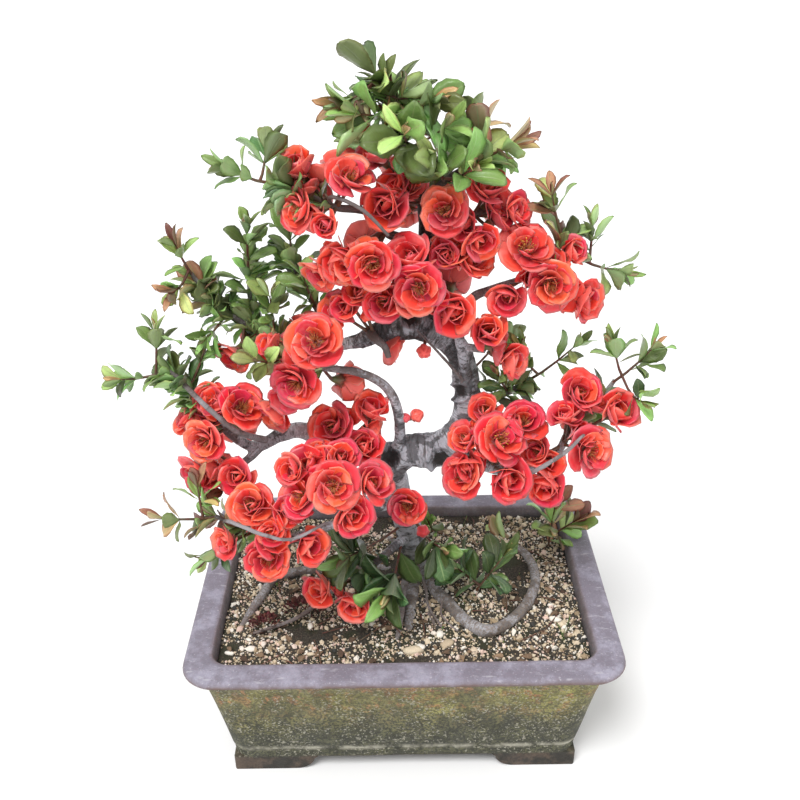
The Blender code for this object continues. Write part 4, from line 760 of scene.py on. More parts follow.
def blade(name, rows, columns, outline, line, lift, thickness, part, spacing=1.0, rounding=0.1):
    """A closed blade: outline(t, s) is a point's reach and distance across, lift(t, s, across) its relief."""
    grid = []
    for i in range(rows + 1):
        t = (i / rows) ** spacing
        row = []
        for j in range(columns + 1):
            s = math.sin(math.pi * (j / columns - 0.5) * rounding) / math.sin(math.pi / 2 * rounding)
            reach, across = outline(t, s)
            x, z, lean = on_line(line, reach)
            rise = lift(t, s, across)
            row.append(Vector((x - math.sin(lean) * rise, across, z + math.cos(lean) * rise)))
        grid.append(row)
    verts, runs, sides, backs, front, rear = [], [], [], [], {}, {}
    for i in range(rows + 1):
        for j in range(columns + 1):
            here = grid[i][j]
            along = grid[min(i + 1, rows)][j] - grid[max(i - 1, 0)][j]
            across = grid[i][min(j + 1, columns)] - grid[i][max(j - 1, 0)]
            normal = along.cross(across).normalized() * thickness / 2
            rim = i in (0, rows) or j in (0, columns)
            for table, sign, back in ((front, 1, 0.0), (rear, -1, 1.0)):
                if rim and sign < 0:
                    rear[i, j] = front[i, j]
                    continue
                table[i, j] = len(verts)
                verts.append(here if rim else here + normal * sign)
                runs.append((i / rows) ** spacing)
                sides.append(-1 + 2 * j / columns)
                backs.append(0.5 if rim else back)
    faces = []
    for i in range(rows):
        for j in range(columns):
            corners = ((i, j), (i + 1, j), (i + 1, j + 1), (i, j + 1))
            faces += [[front[c] for c in corners], [rear[c] for c in reversed(corners)]]
    mesh = mesh_from(name, verts, faces)
    put(mesh, run=runs, side=sides, back=backs, part=part)
    return mesh


def petal_shape(name, seed, spread, bend, reflex, hollow, ruffle, notch, rows=6, columns=8):
    """A broad round petal that fans out from a narrow claw, hollow across and waved along its rim."""
    draw = random.Random(seed)
    phase = draw.uniform(0, math.tau)
    waves = draw.uniform(3.0, 5.2)
    skew = draw.uniform(-0.06, 0.06)

    def outline(t, s):
        angle = s * math.radians(spread) * (1.14 - 0.24 * t)
        reach = (0.06 + 0.94 * t) * (1.0 - 0.19 * abs(s) ** 2.3 - notch * t * math.exp(-(s / 0.2) ** 2)
                                     + 0.018 * t * math.sin(waves * 2.3 * s + phase))
        return reach * math.cos(angle), reach * math.sin(angle)

    def lift(t, s, across):
        cup = hollow * across * across * (1.25 - 0.5 * t)
        wave = ruffle * t ** 3 * (math.sin(waves * s + phase) + 0.5 * math.sin(2.7 * waves * s - phase))
        return cup + wave + skew * s * t

    return blade(name, rows, columns, outline, swept(bend, reflex), lift, PETAL_THICKNESS, PETAL, 0.85, 0.8)


def bud_shape(name, seed):
    """A round bud about to open: an egg of petals that wrap over each other in a spiral."""
    around, rings = 20, 9
    phase = random.Random(seed).uniform(0, 1)
    verts, runs = [Vector((0, 0, -0.62))], [0.0]
    for ring in range(1, rings):
        t = ring / rings
        for k in range(around):
            wrap = (5 * k / around + 0.9 * t + phase) % 1.0
            radius = math.sin(math.pi * t ** 0.85) ** 0.8 * (0.52 + 0.17 * wrap)
            turn = math.tau * k / around
            verts.append(Vector((radius * math.cos(turn), radius * math.sin(turn), -0.62 + 1.36 * t)))
            runs.append(0.42 + 0.55 * wrap)
    verts.append(Vector((0, 0, 0.72)))
    runs.append(0.9)
    last = 1 + (rings - 2) * around
    faces = [(0, 1 + (k + 1) % around, 1 + k) for k in range(around)]
    faces += ring_faces(around, rings - 1, 1)
    faces += [(last + k, last + (k + 1) % around, len(verts) - 1) for k in range(around)]
    mesh = mesh_from(name, verts, faces)
    put(mesh, run=runs, side=0.0, back=0.6, part=PETAL)
    return mesh


def leaf_shape(name, seed, width, curl, fold, wave, rows=10, columns=4):
    """An obovate leaf with a toothed margin, folded along its rib and curled back at its tip."""
    draw = random.Random(seed)
    phase = draw.uniform(0, math.tau)

    def outline(t, s):
        body = math.sin(math.pi * min(t, 0.985) ** 1.45) ** 0.72
        tooth = 1.0 + (0.045 if round(t * rows) % 2 else -0.035)
        return t, s * (0.022 if t < 0.06 else max(width * body * tooth, 0.016))

    def lift(t, s, across):
        half = abs(across)
        return (fold * half + wave * s * half * math.sin(6.5 * t + phase)
                + 0.02 * math.sin(5 * t + phase) * abs(s))

    return blade(name, rows, columns, outline, swept(draw.uniform(0.0, 0.25), curl), lift, LEAF_THICKNESS,
                 LEAF)


def stamen_shape(name, seed, count):
    """A boss of stamens: bent threads with an anther on each, in one mesh of unit height."""
    draw = random.Random(seed)
    verts, faces, runs = [], [], []
    for index in range(count):
        turn = index * GOLDEN_ANGLE + draw.uniform(-0.3, 0.3)
        lean = 0.10 + 0.62 * math.sqrt((index + 0.5) / count) + draw.uniform(-0.07, 0.07)
        height = draw.uniform(0.78, 1.0) * (1.0 - 0.18 * lean)
        path = [heading(turn) * (0.10 + lean * t ** 1.5 * 0.85) + Vector((0, 0, height * t))
                for t in (0.0, 0.5, 1.0)]
        base = len(verts)
        for k, (place, radius) in enumerate(zip(path, (0.034, 0.027, 0.020))):
            verts += [place + heading(corner * math.tau / 3) * radius for corner in range(3)]
            runs += [k * 0.4] * 3
        faces += ring_faces(3, 3, base) + [(base + 2, base + 1, base), (base + 6, base + 7, base + 8)]
        head = len(verts)
        for offset in ((0.085, 0, 0), (0, 0.06, 0), (-0.085, 0, 0), (0, -0.06, 0), (0, 0, 0.09),
                       (0, 0, -0.06)):
            turned = Vector(offset)
            turned.rotate(Euler((0.5 * math.sin(turn), 0.5 * math.cos(turn), turn)))
            verts.append(path[-1] + turned)
            runs.append(1.0)
        for i in range(4):
            j = (i + 1) % 4
            faces += [(head + i, head + j, head + 4), (head + j, head + i, head + 5)]
    mesh = mesh_from(name, verts, faces)
    put(mesh, run=runs, side=0.0, back=0.0, part=STAMEN)
    return mesh


def calyx_shape(name, sepals=5):
    """The cup behind a bloom, with five blunt sepals, as a closed turned shape along +Z."""
    around = sepals * 3
    profile = ((0.05, -0.52), (0.12, -0.47), (0.17, -0.30), (0.21, -0.14), (0.33, 0.02), (0.24, 0.03),
               (0.10, 0.00))
    last = len(profile) - 1
    verts, runs = [], []
    for ring, (radius, height) in enumerate(profile):
        for k in range(around):
            turn = math.tau * k / around
            lobe = 1.0 + (0.34 * math.cos(sepals * turn) if ring == 4 else 0.0)
            verts.append(Vector((math.cos(turn) * radius * lobe, math.sin(turn) * radius * lobe, height)))
            runs.append(ring / last)
    faces = [tuple(reversed(range(around))), tuple(range(last * around, (last + 1) * around))]
    mesh = mesh_from(name, verts, faces + ring_faces(around, len(profile)))
    put(mesh, run=runs, side=0.0, back=0.0, part=CALYX)
    return mesh


class Shapes:
    """A collection of shapes that a growth tree picks from by number. It isn't in the scene."""

    def __init__(self, name):
        self.collection = bpy.data.collections.new(name)
        self.numbers = {}

    def add(self, family, mesh):
        number = len(self.collection.objects)
        for polygon in mesh.polygons:
            polygon.use_smooth = True
        self.collection.objects.link(bpy.data.objects.new("%03d_%s" % (number, family), mesh))
        self.numbers.setdefault(family, []).append(number)

    def pick(self, family, draw):
        return draw.choice(self.numbers[family])

    def remove(self):
        for holder in list(self.collection.objects):
            bpy.data.objects.remove(holder, do_unlink=True)
        bpy.data.collections.remove(self.collection)


# Geometry trees

def shelf_of(tree, collection):
    """The shapes of a collection, each an instance of its own."""
    return made(tree, "GeometryNodeCollectionInfo", {"Collection": collection, "Separate Children": True,
                                                     "Reset Children": True})


def growth_tree(name, collection, materials):
    """Sets shapes on a plan's points, sweeps tubes along its edges, and gives each part its material."""
    tree, start, end = new_tree("GeometryNodeTree", name, (
        ("Geometry", "Geometry", None), ("Shape Scale", "Float", 1.0), ("Stem Scale", "Float", 1.0),
        ("Stem Sides", "Int", 6)), (("Geometry", "Geometry", None),))
    out = partial(made, tree)
    shape = attribute(tree, "shape", "INT")
    size = out("ShaderNodeVectorMath", {0: attribute(tree, "size", "FLOAT_VECTOR"),
                                        "Scale": start["Shape Scale"]},
               operation="SCALE")
    placed = out("GeometryNodeInstanceOnPoints", {
        "Points": start["Geometry"], "Instance": shelf_of(tree, collection), "Pick Instance": True,
        "Instance Index": shape, "Scale": size,
        "Selection": out("FunctionNodeCompare", {2: shape, 3: 0}, "Result", data_type="INT",
                         operation="GREATER_EQUAL"),
        "Rotation": out("FunctionNodeEulerToRotation", {0: attribute(tree, "turn", "FLOAT_VECTOR")})})
    tube = out("GeometryNodeCurveToMesh", {
        "Curve": out("GeometryNodeMeshToCurve", {"Mesh": start["Geometry"]}), "Fill Caps": True,
        "Profile Curve": out("GeometryNodeCurvePrimitiveCircle",
                             {"Resolution": start["Stem Sides"], "Radius": 1.0}),
        "Scale": out("ShaderNodeMath", {0: attribute(tree, "thick"), 1: start["Stem Scale"]},
                     operation="MULTIPLY")})
    marked = out("GeometryNodeStoreNamedAttribute", {"Geometry": tube, "Name": "part", "Value": STEM},
                 data_type="FLOAT", domain="POINT")
    whole = node(tree, "GeometryNodeJoinGeometry")
    tree.links.new(marked, whole.inputs[0])
    tree.links.new(placed, whole.inputs[0])
    last = whole.outputs[0]
    for label in ("turn", "size", "shape", "thick"):
        last = out("GeometryNodeRemoveAttribute", {"Geometry": last, "Name": label})
    last = out("GeometryNodeRealizeInstances", {"Geometry": last})
    for part, material in materials:
        same = out("FunctionNodeCompare", {0: attribute(tree, "part"), 1: part, "Epsilon": 0.2}, "Result",
                   data_type="FLOAT", operation="EQUAL")
        last = out("GeometryNodeSetMaterial", {"Geometry": last, "Selection": same, "Material": material})
    tree.links.new(last, end[0])
    return tree


def grains_tree(name, collection, material):
    """Scatters grains over a surface, each with its own size, turn and draw of colour."""
    tree, start, end = new_tree("GeometryNodeTree", name, (
        ("Geometry", "Geometry", None), ("Density", "Float", 1e5), ("Smallest", "Float", 0.6),
        ("Largest", "Float", 2.0), ("Seed", "Int", 3)), (("Geometry", "Geometry", None),))
    out = partial(made, tree)

    def draw(kind, low, high, seed):
        """A random value for each grain: the sockets of each kind have their own numbers."""
        first, output = {"FLOAT_VECTOR": (0, 0), "FLOAT": (2, 1), "INT": (4, 2)}[kind]
        return out("FunctionNodeRandomValue", {"Seed": seed, first: low, first + 1: high}, output,
                   data_type=kind)

    spread = out("ShaderNodeMath", {0: draw("FLOAT", 0.0, 1.0, 1), 1: 2.6}, operation="POWER")
    placed = out("GeometryNodeInstanceOnPoints", {
        "Points": out("GeometryNodeDistributePointsOnFaces", {
            "Mesh": start["Geometry"], "Density": start["Density"], "Seed": start["Seed"]}),
        "Instance": shelf_of(tree, collection), "Pick Instance": True,
        "Instance Index": draw("INT", 0, GRAIN_SHAPES - 1, 5),
        "Rotation": out("FunctionNodeEulerToRotation",
                        {0: draw("FLOAT_VECTOR", (0, 0, 0), (6.28, 6.28, 6.28), 2)}),
        "Scale": out("ShaderNodeMapRange", {"Value": spread, "To Min": start["Smallest"],
                                            "To Max": start["Largest"]})})
    marked = out("GeometryNodeStoreNamedAttribute", {"Geometry": placed, "Name": "tint",
                                                     "Value": draw("FLOAT", 0.0, 1.0, 9)},
                 data_type="FLOAT", domain="INSTANCE")
    whole = out("GeometryNodeRealizeInstances", {"Geometry": marked})
    tree.links.new(out("GeometryNodeSetMaterial", {"Geometry": whole, "Material": material}), end[0])
    return tree


def run_tree(mesh, tree, **inputs):
    """A mesh put through a geometry tree, with the tree's inputs set by name."""
    holder = in_scene("plan", mesh)
    modifier = holder.modifiers.new("tree", "NODES")
    modifier.node_group = tree
    names = {item.name: item.identifier for item in tree.interface.items_tree if item.in_out == "INPUT"}
    for key, value in inputs.items():
        modifier[names[key.replace("_", " ")]] = value
    return evaluated_mesh(holder)


class Plan:
    """The points and edges of one grown piece: what stands where, and the stems between."""

    def __init__(self):
        self.items = []
        self.stems = []

    def add(self, shape, place, ahead, face, size, tint=0.5, tone=0.5):
        x = Vector(ahead).normalized()
        y = Vector(face).cross(x).normalized()
        turn = Matrix((x, y, x.cross(y))).transposed().to_euler()
        scale = size if isinstance(size, tuple) else (size, size, size)
        self.items.append((to_world(place), tuple(turn), [value * MM for value in scale], shape, tint, tone))

    def stem(self, points, radii, tint=0.5):
        self.stems.append(([to_world(point) for point in points], [radius * MM for radius in radii], tint))

    def route(self, rows):
        """A stem along rows of (across, back, up, radius)."""
        self.stem([row[:3] for row in rows], [row[3] for row in rows])

    def mesh(self):
        rows = [item + (0.0,) for item in self.items]
        edges = []
        for points, radii, tint in self.stems:
            for index, (point, radius) in enumerate(zip(points, radii)):
                if index:
                    edges.append((len(rows) - 1, len(rows)))
                rows.append((point, (0, 0, 0), (1, 1, 1), -1, tint, 0.5, radius))
        places, turns, sizes, shapes, tints, tones, radii = zip(*rows)
        mesh = mesh_from("plan", places, [], edges)
        put(mesh, "FLOAT_VECTOR", turn=turns, size=sizes)
        put(mesh, "INT", shape=shapes)
        put(mesh, tint=tints, tone=tones, thick=radii)
        return mesh


# The plan's rules: the same as those that place the solids

def smooth_route(points, steps):
    """Points along a smooth curve through a route's own points, with the radius eased between them."""
    result = []
    count = len(points)
    for i in range(count - 1):
        rows = [points[max(i - 1, 0)], points[i], points[i + 1], points[min(i + 2, count - 1)]]
        for step in range(steps):
            t = step / steps
            result.append(tuple(0.5 * (2 * b + (c - a) * t + (2 * a - 5 * b + 4 * c - d) * t * t
                                       + (3 * b - a - 3 * c + d) * t * t * t) for a, b, c, d in zip(*rows)))
    result.append(tuple(points[-1]))
    return result


def frame_about(direction, turn):
    """Two unit vectors across a direction, turned about it."""
    ahead = direction.normalized()
    side = ahead.cross(Vector((0, 0, 1)))
    if side.length < 0.05:
        side = ahead.cross(Vector((0, 1, 0)))
    side.normalize()
    lift = side.cross(ahead)
    across = side * math.cos(turn) + lift * math.sin(turn)
    return across, ahead.cross(across)


def nearest_wood(point):
    """The nearest place on the wood's routes: the route's name, the place, its radius and its heading."""
    best = None
    for name, route in WOOD_ROUTES.items():
        for start, end in zip(route, route[1:]):
            a = Vector(start[:3])
            b = Vector(end[:3])
            along = max(0.0, min(1.0, (point - a).dot(b - a) / (b - a).length_squared))
            place = a.lerp(b, along)
            if best is None or (point - place).length < best[0]:
                best = ((point - place).length, name, place, start[3] + (end[3] - start[3]) * along,
                        (b - a).normalized())
    return best[1:]


def bloom_facing(centre, spur):
    outward = (centre - spur).normalized()
    if centre.y > spur.y + 8:
        return (outward + Vector((0, 0.25, 0.25))).normalized()
    facing = (outward + VIEWER_PULL).normalized()
    if facing.dot(outward) < 0.45:
        facing = (facing + outward).normalized()
    return facing


def stem_route(start, tip, sag):
    """A short stem that sags between its start and its tip."""
    middle = start.lerp(tip, 0.5) - Vector((0, 0, sag))
    return [start * (1 - t) ** 2 + middle * 2 * t * (1 - t) + tip * t * t for t in (0.0, 0.35, 0.7, 1.0)]


def sprig_route(start, tip):
    """A stem that rises straight out of its hole in the soil and then leans to its tip."""
    top = start + Vector((0, 0, 12.0))
    return [start, top, top.lerp(tip, 0.5), tip]


def route_place(route, t):
    span = t * (len(route) - 1)
    i = min(int(span), len(route) - 2)
    return route[i].lerp(route[i + 1], span - i), (route[i + 1] - route[i]).normalized()


def draw_whorls(count, length, draw):
    """Whorls up a stem, as (place on the stem, leaves), each leaf as (turn, rise in radians, length)."""
    top = 3
    levels = 1 if count <= top else 2 if count <= top + 4 else 3
    whorls = []
    left = count
    phase = draw.uniform(0, 1)
    for level in range(levels):
        t = 1.0 - 0.34 * (levels - 1 - level)
        here = top if level == levels - 1 else max(3, round((left - top) / (levels - 1 - level)))
        left -= here
        leaves = []
        for i in range(here):
            turn = (i + draw.uniform(-0.12, 0.12)) / here + (phase if level % 2 else phase + 0.5 / here) % 1.0
            rise = math.radians(62 - 12 * (levels - 1 - level) - (24 if levels == 1 else 0) + draw.uniform(-9,
                                                                                                           9))
            size = length * (1.0 - 0.22 * (level == levels - 1)) * draw.uniform(0.85, 1.12)
            leaves.append((turn, rise, size))
        whorls.append((t, leaves))
    return whorls


def soil_height(x, y):
    """The height of the ground in the plan's millimetres."""
    reach = math.hypot(x - TRUNK_FOOT[0], y - TRUNK_FOOT[1]) * MM / SOIL_MOUND_REACH
    grain = noise.noise(Vector((x * 0.045, y * 0.045, 3.0))) * 1.5
    grain += noise.noise(Vector((x * 0.16, y * 0.16, 9.0)))
    return (SOIL_TOP + SOIL_MOUND * math.exp(-reach * reach)) / MM + grain * 0.8


# Settings that a user would change

def colour_prop(name, description, default):
    return bpy.props.FloatVectorProperty(name=name, description=description, subtype="COLOR", size=3, min=0.0,
                                         max=1.0, default=default)


def length_prop(name, description, default):
    return bpy.props.FloatProperty(name=name, description=description, default=default, subtype="DISTANCE",
                                   unit="LENGTH")


def number_prop(name, description, default):
    return bpy.props.FloatProperty(name=name, description=description, default=default)


def count_prop(name, description, default):
    return bpy.props.IntProperty(name=name, description=description, default=default)


class QuincePotSettings(bpy.types.PropertyGroup):
    """Size and colours of the pot."""
    width: length_prop("Width", "Length of the rim", POT_WIDTH)
    depth: length_prop("Depth", "Width of the rim", POT_DEPTH)
    corner_steps: count_prop("Corner Steps", "Steps round each corner", 10)
    rim: colour_prop("Rim", "Mauve-grey clay of the rim", (0.205, 0.185, 0.228))
    rim_pale: colour_prop("Rim Pale", "Paler clouds on the rim", (0.335, 0.320, 0.395))
    rim_lime: colour_prop("Rim Lime", "Lime streaks on the rim", (0.560, 0.550, 0.600))
    rim_dark: colour_prop("Rim Dark", "Pits in the rim", (0.130, 0.110, 0.125))
    # Partly wear, partly painted shade on the lip's lower face and under the rim.
    rim_edge: colour_prop("Rim Edge", "Brown worn edges of the rim", (0.130, 0.075, 0.055))
    body: colour_prop("Body", "Olive algae on the wall", (0.225, 0.205, 0.078))
    body_yellow: colour_prop("Body Yellow", "Yellow-green algae", (0.340, 0.315, 0.095))
    body_low: colour_prop("Body Low", "Dark foot of the wall", (0.098, 0.098, 0.054))
    body_dark: colour_prop("Body Dark", "Dark specks on the wall", (0.035, 0.036, 0.024))
    body_rust: colour_prop("Body Rust", "Bare orange clay", (0.420, 0.200, 0.090))
    body_lime: colour_prop("Body Lime", "Lime crust", (0.420, 0.400, 0.320))
    foot: colour_prop("Foot", "Dark clay of the feet", (0.032, 0.028, 0.022))
    foot_brown: colour_prop("Foot Brown", "Brown clay of the feet", (0.085, 0.060, 0.044))
    # Painted shade: near-black laid inside the wall and on the pot's floors.
    inner: colour_prop("Inner", "Inside of the wall", (0.030, 0.026, 0.024))


class QuinceSoilSettings(bpy.types.PropertyGroup):
    """Grain and colours of the soil."""
    fine_density: number_prop("Fine Density", "Fine grains in each square metre", 210000.0)
    coarse_density: number_prop("Coarse Density", "Coarse grains in each square metre", 34000.0)
    smallest: length_prop("Smallest Grain", "Radius of the smallest grains", 0.0007)
    middle: length_prop("Middle Grain", "Radius where fine grains end and coarse ones start", 0.0017)
    largest: length_prop("Largest Grain", "Radius of the largest grains", 0.0042)
    earth: colour_prop("Earth", "Dark soil between the grains", (0.034, 0.029, 0.022))
    earth_pale: colour_prop("Earth Pale", "Dry soil", (0.110, 0.090, 0.066))
    moss: colour_prop("Moss", "Thin moss on the soil", (0.036, 0.040, 0.018))
    grain_dark: colour_prop("Dark Grain", "Dark grit", (0.045, 0.045, 0.040))
    grain_tan: colour_prop("Tan Grain", "Tan grit", (0.400, 0.300, 0.190))
    grain_beige: colour_prop("Beige Grain", "Beige grit", (0.700, 0.590, 0.430))
    grain_pink: colour_prop("Pink Grain", "Pink grit", (0.760, 0.560, 0.470))
    grain_white: colour_prop("White Grain", "White quartz grit", (0.880, 0.830, 0.740))


class QuinceWoodSettings(bpy.types.PropertyGroup):
    """Relief and colours of trunk, branches and roots."""
    voxel: length_prop("Voxel", "Grain of the mesh that joins the thick wood", 0.0013)
    relief: length_prop("Relief", "Height of the bark's lumps", 0.0011)
    bark: colour_prop("Bark", "Silver-grey bark", (0.390, 0.405, 0.450))
    bark_light: colour_prop("Bark Light", "Pale lenticels", (0.720, 0.750, 0.810))
    bark_dark: colour_prop("Bark Dark", "Brown between the bands", (0.095, 0.088, 0.088))
    bark_black: colour_prop("Bark Black", "Blackish old bark", (0.020, 0.017, 0.016))
    young: colour_prop("Young Bark", "Brown-grey twigs and fine roots", (0.175, 0.135, 0.125))
    soil_dust: colour_prop("Soil Dust", "Soil on the roots", (0.185, 0.140, 0.108))


class QuinceBloomSettings(bpy.types.PropertyGroup):
    """Sizes and colours of the blooms."""
    fullness: number_prop("Fullness", "How far the petals reach past the solids' plain ones", 0.98)
    between: count_prop("Between", "Most half-hidden blooms in a bunch", 4)
    petal: colour_prop("Petal", "Coral red of an open petal", (0.910, 0.030, 0.040))
    petal_orange: colour_prop("Petal Orange", "Orange-red of an older petal", (0.910, 0.085, 0.050))
    # Painted shade: the dark crimson laid towards the heart of each bloom.
    petal_deep: colour_prop("Petal Deep", "Crimson at a petal's foot", (0.330, 0.004, 0.009))
    petal_throat: colour_prop("Petal Throat", "Yellow of the claw", (0.850, 0.400, 0.100))
    # Painted highlight: the pale colour on each petal's rim and in clouds over its outer half.
    petal_rim: colour_prop("Petal Rim", "Pale rim", (0.980, 0.420, 0.380))
    petal_back: colour_prop("Petal Back", "Salmon back", (0.910, 0.165, 0.130))
    petal_back_pink: colour_prop("Petal Back Pink", "Pink back", (0.890, 0.130, 0.150))
    filament: colour_prop("Filament", "Threads of the stamens", (0.620, 0.230, 0.090))
    anther: colour_prop("Anther", "Yellow pollen", (0.860, 0.560, 0.080))
    anther_dark: colour_prop("Anther Dark", "Spent anthers", (0.230, 0.060, 0.018))
    calyx: colour_prop("Calyx", "Red sepals", (0.250, 0.045, 0.050))
    calyx_green: colour_prop("Calyx Green", "Green foot of the cup", (0.110, 0.130, 0.045))


class QuinceLeafSettings(bpy.types.PropertyGroup):
    """Number and colours of the leaves."""
    extra: number_prop("Extra Leaves", "Leaves between the whorls, as a share of those in them", 0.55)
    leaf_scale: number_prop("Leaf Scale", "Leaf length against the solids' plain leaves", 1.2)
    top: number_prop("Top", "Highest tip of a stem, in millimetres", 553.0)
    reach: number_prop("Reach", "Furthest tip to the right, in millimetres", 190.0)
    nodes: count_prop("Twig Nodes", "Fans of leaves on the twig behind a shoot", 6)
    leaf_green: colour_prop("Green", "A grown leaf", (0.215, 0.355, 0.090))
    # Deep green of old leaves; on the low shoots under the crown it also stands in for painted shade.
    leaf_dark: colour_prop("Dark Green", "An old leaf", (0.050, 0.110, 0.038))
    leaf_pale: colour_prop("Pale Green", "A young leaf", (0.480, 0.600, 0.190))
    leaf_bronze: colour_prop("Bronze", "A new leaf", (0.480, 0.215, 0.130))
    leaf_edge: colour_prop("Red Edge", "Margin of a new leaf", (0.300, 0.060, 0.040))
    leaf_vein: colour_prop("Vein", "Ribs", (0.300, 0.380, 0.160))
    leaf_under: colour_prop("Underside", "Back of a leaf", (0.360, 0.450, 0.290))
    stem_red: colour_prop("Red Stem", "Young stem", (0.160, 0.045, 0.030))
    stem_brown: colour_prop("Brown Stem", "Ripening stem", (0.130, 0.095, 0.060))


class QuinceStageSettings(bpy.types.PropertyGroup):
    """Floor, light and camera."""
    floor: colour_prop("Floor", "Pale floor", (0.930, 0.930, 0.930))
    sky: number_prop("Sky", "Strength of the even light all round", 0.76)
    key: number_prop("Key", "Strength of the main light", 2.25)
    fill: number_prop("Fill", "Strength of the side light", 0.45)
    lens: bpy.props.FloatProperty(name="Lens", description="Focal length", default=41.96,
                                  subtype="DISTANCE_CAMERA",
                                  unit="CAMERA")


# Pot

def rounded_rectangle(half_x, half_y, radius, height, corner_steps, side_steps):
    """Points round a rectangle with round corners and points along its sides."""
    corners = []
    for corner, (sx, sy) in enumerate(((1, 1), (-1, 1), (-1, -1), (1, -1))):
        arc = []
        for step in range(corner_steps + 1):
            angle = math.radians(90 * corner + 90 * step / corner_steps)
            arc.append(Vector((sx * (half_x - radius) + radius * math.cos(angle),
                               sy * (half_y - radius) + radius * math.sin(angle), height)))
        corners.append(arc)
    ring = []
    for index, arc in enumerate(corners):
        ring.extend(arc)
        following = corners[(index + 1) % 4][0]
        steps = side_steps[index % 2]
        ring.extend(arc[-1].lerp(following, step / steps) for step in range(1, steps))
    return ring


def foot_outline(length, shift):
    """One leg of a cloud foot from the side: a straight toe, a curled inner end and a flat top."""
    points = [(shift, 0.0), (length * 0.72 - shift, 0.0)]
    for step in range(1, 9):
        angle = math.radians(-90 + 90 * step / 8)
        points.append((length * 0.72 + length * 0.20 * math.cos(angle) - shift,
                       FOOT_HEIGHT * 0.72 * (1 + math.sin(angle))))
    return points + [(length - shift, FOOT_HEIGHT + 0.001), (shift, FOOT_HEIGHT + 0.001)]


def foot_leg(sign_x, sign_y, along_x):
    corner_x = sign_x * (POT_WIDTH / 2 - FOOT_INSET)
    corner_y = sign_y * (POT_DEPTH / 2 - FOOT_INSET)
    verts = []
    for depth, shift in LEG_PROFILE:
        for run, height in foot_outline(FOOT_LEGS[0 if along_x else 1], shift):
            across, back = (run, depth) if along_x else (depth, run)
            verts.append(Vector((corner_x - sign_x * across, corner_y - sign_y * back, height)) + MIDDLE)
    count = len(verts) // 4
    faces = [tuple(range(count)), tuple(range(4 * count - 1, 3 * count - 1, -1))]
    mesh = mesh_from("foot", verts, faces + [(a, d, c, b) for a, b, c, d in ring_faces(count, 4)])
    turn_outward(mesh)
    return mesh


def corner_foot(sign_x, sign_y):
    """Both legs of a corner's foot as one closed piece."""
    first, second = [in_scene("foot", foot_leg(sign_x, sign_y, along_x)) for along_x in (True, False)]
    union = first.modifiers.new("union", "BOOLEAN")
    union.operation = "UNION"
    union.solver = "EXACT"
    union.object = second
    mesh = evaluated_mesh(first)
    bpy.data.objects.remove(second, do_unlink=True)
    put(mesh, rim=0.0, inside=0.0, edge=0.0)
    return mesh


def floor_with_holes(verts, first, count, height):
    """A floor across a ring of the wall, with the drain holes open: its faces and the holes' rings."""
    bm = bmesh.new()
    loops = [[bm.verts.new(verts[first + k]) for k in range(count)]]
    indices = {vert: first + k for k, vert in enumerate(loops[0])}
    rings = []
    for side in (-1, 1):
        ring = []
        for k in range(DRAIN_STEPS):
            turn = math.tau * k / DRAIN_STEPS
            ring.append(Vector((side * DRAIN_SPACING / 2 + DRAIN_RADIUS * math.cos(turn),
                                DRAIN_RADIUS * math.sin(turn), height)) + MIDDLE)
        loops.append([bm.verts.new(point) for point in ring])
        rings.append(list(range(len(verts), len(verts) + DRAIN_STEPS)))
        indices.update(zip(loops[-1], rings[-1]))
        verts += ring
    edges = [bm.edges.new((loop[k - 1], loop[k])) for loop in loops for k in range(len(loop))]
    filled = bmesh.ops.triangle_fill(bm, use_beauty=True, use_dissolve=False, edges=edges)
    faces = [tuple(indices[v] for v in face.verts) for face in filled["geom"]
             if isinstance(face, bmesh.types.BMFace)]
    bm.free()
    return faces, rings


def worn_edge(inset, height, rim, inside):
    """How brown the rim is, partly from wear and partly painted shade: most at its lower lip, a little under
    the rim's overhang below it, and at its inner edge where it turns down into the pot.
    """
    lip = max(0.0, 1.0 - max(0.0, height - 0.1302) / 0.0036) if inset < 0.008 else 0.0
    return max(lip, 0.35 if height < 0.1300 and rim > 0 else 0.0, 0.45 if rim > 0 and inside > 0 else 0.0)


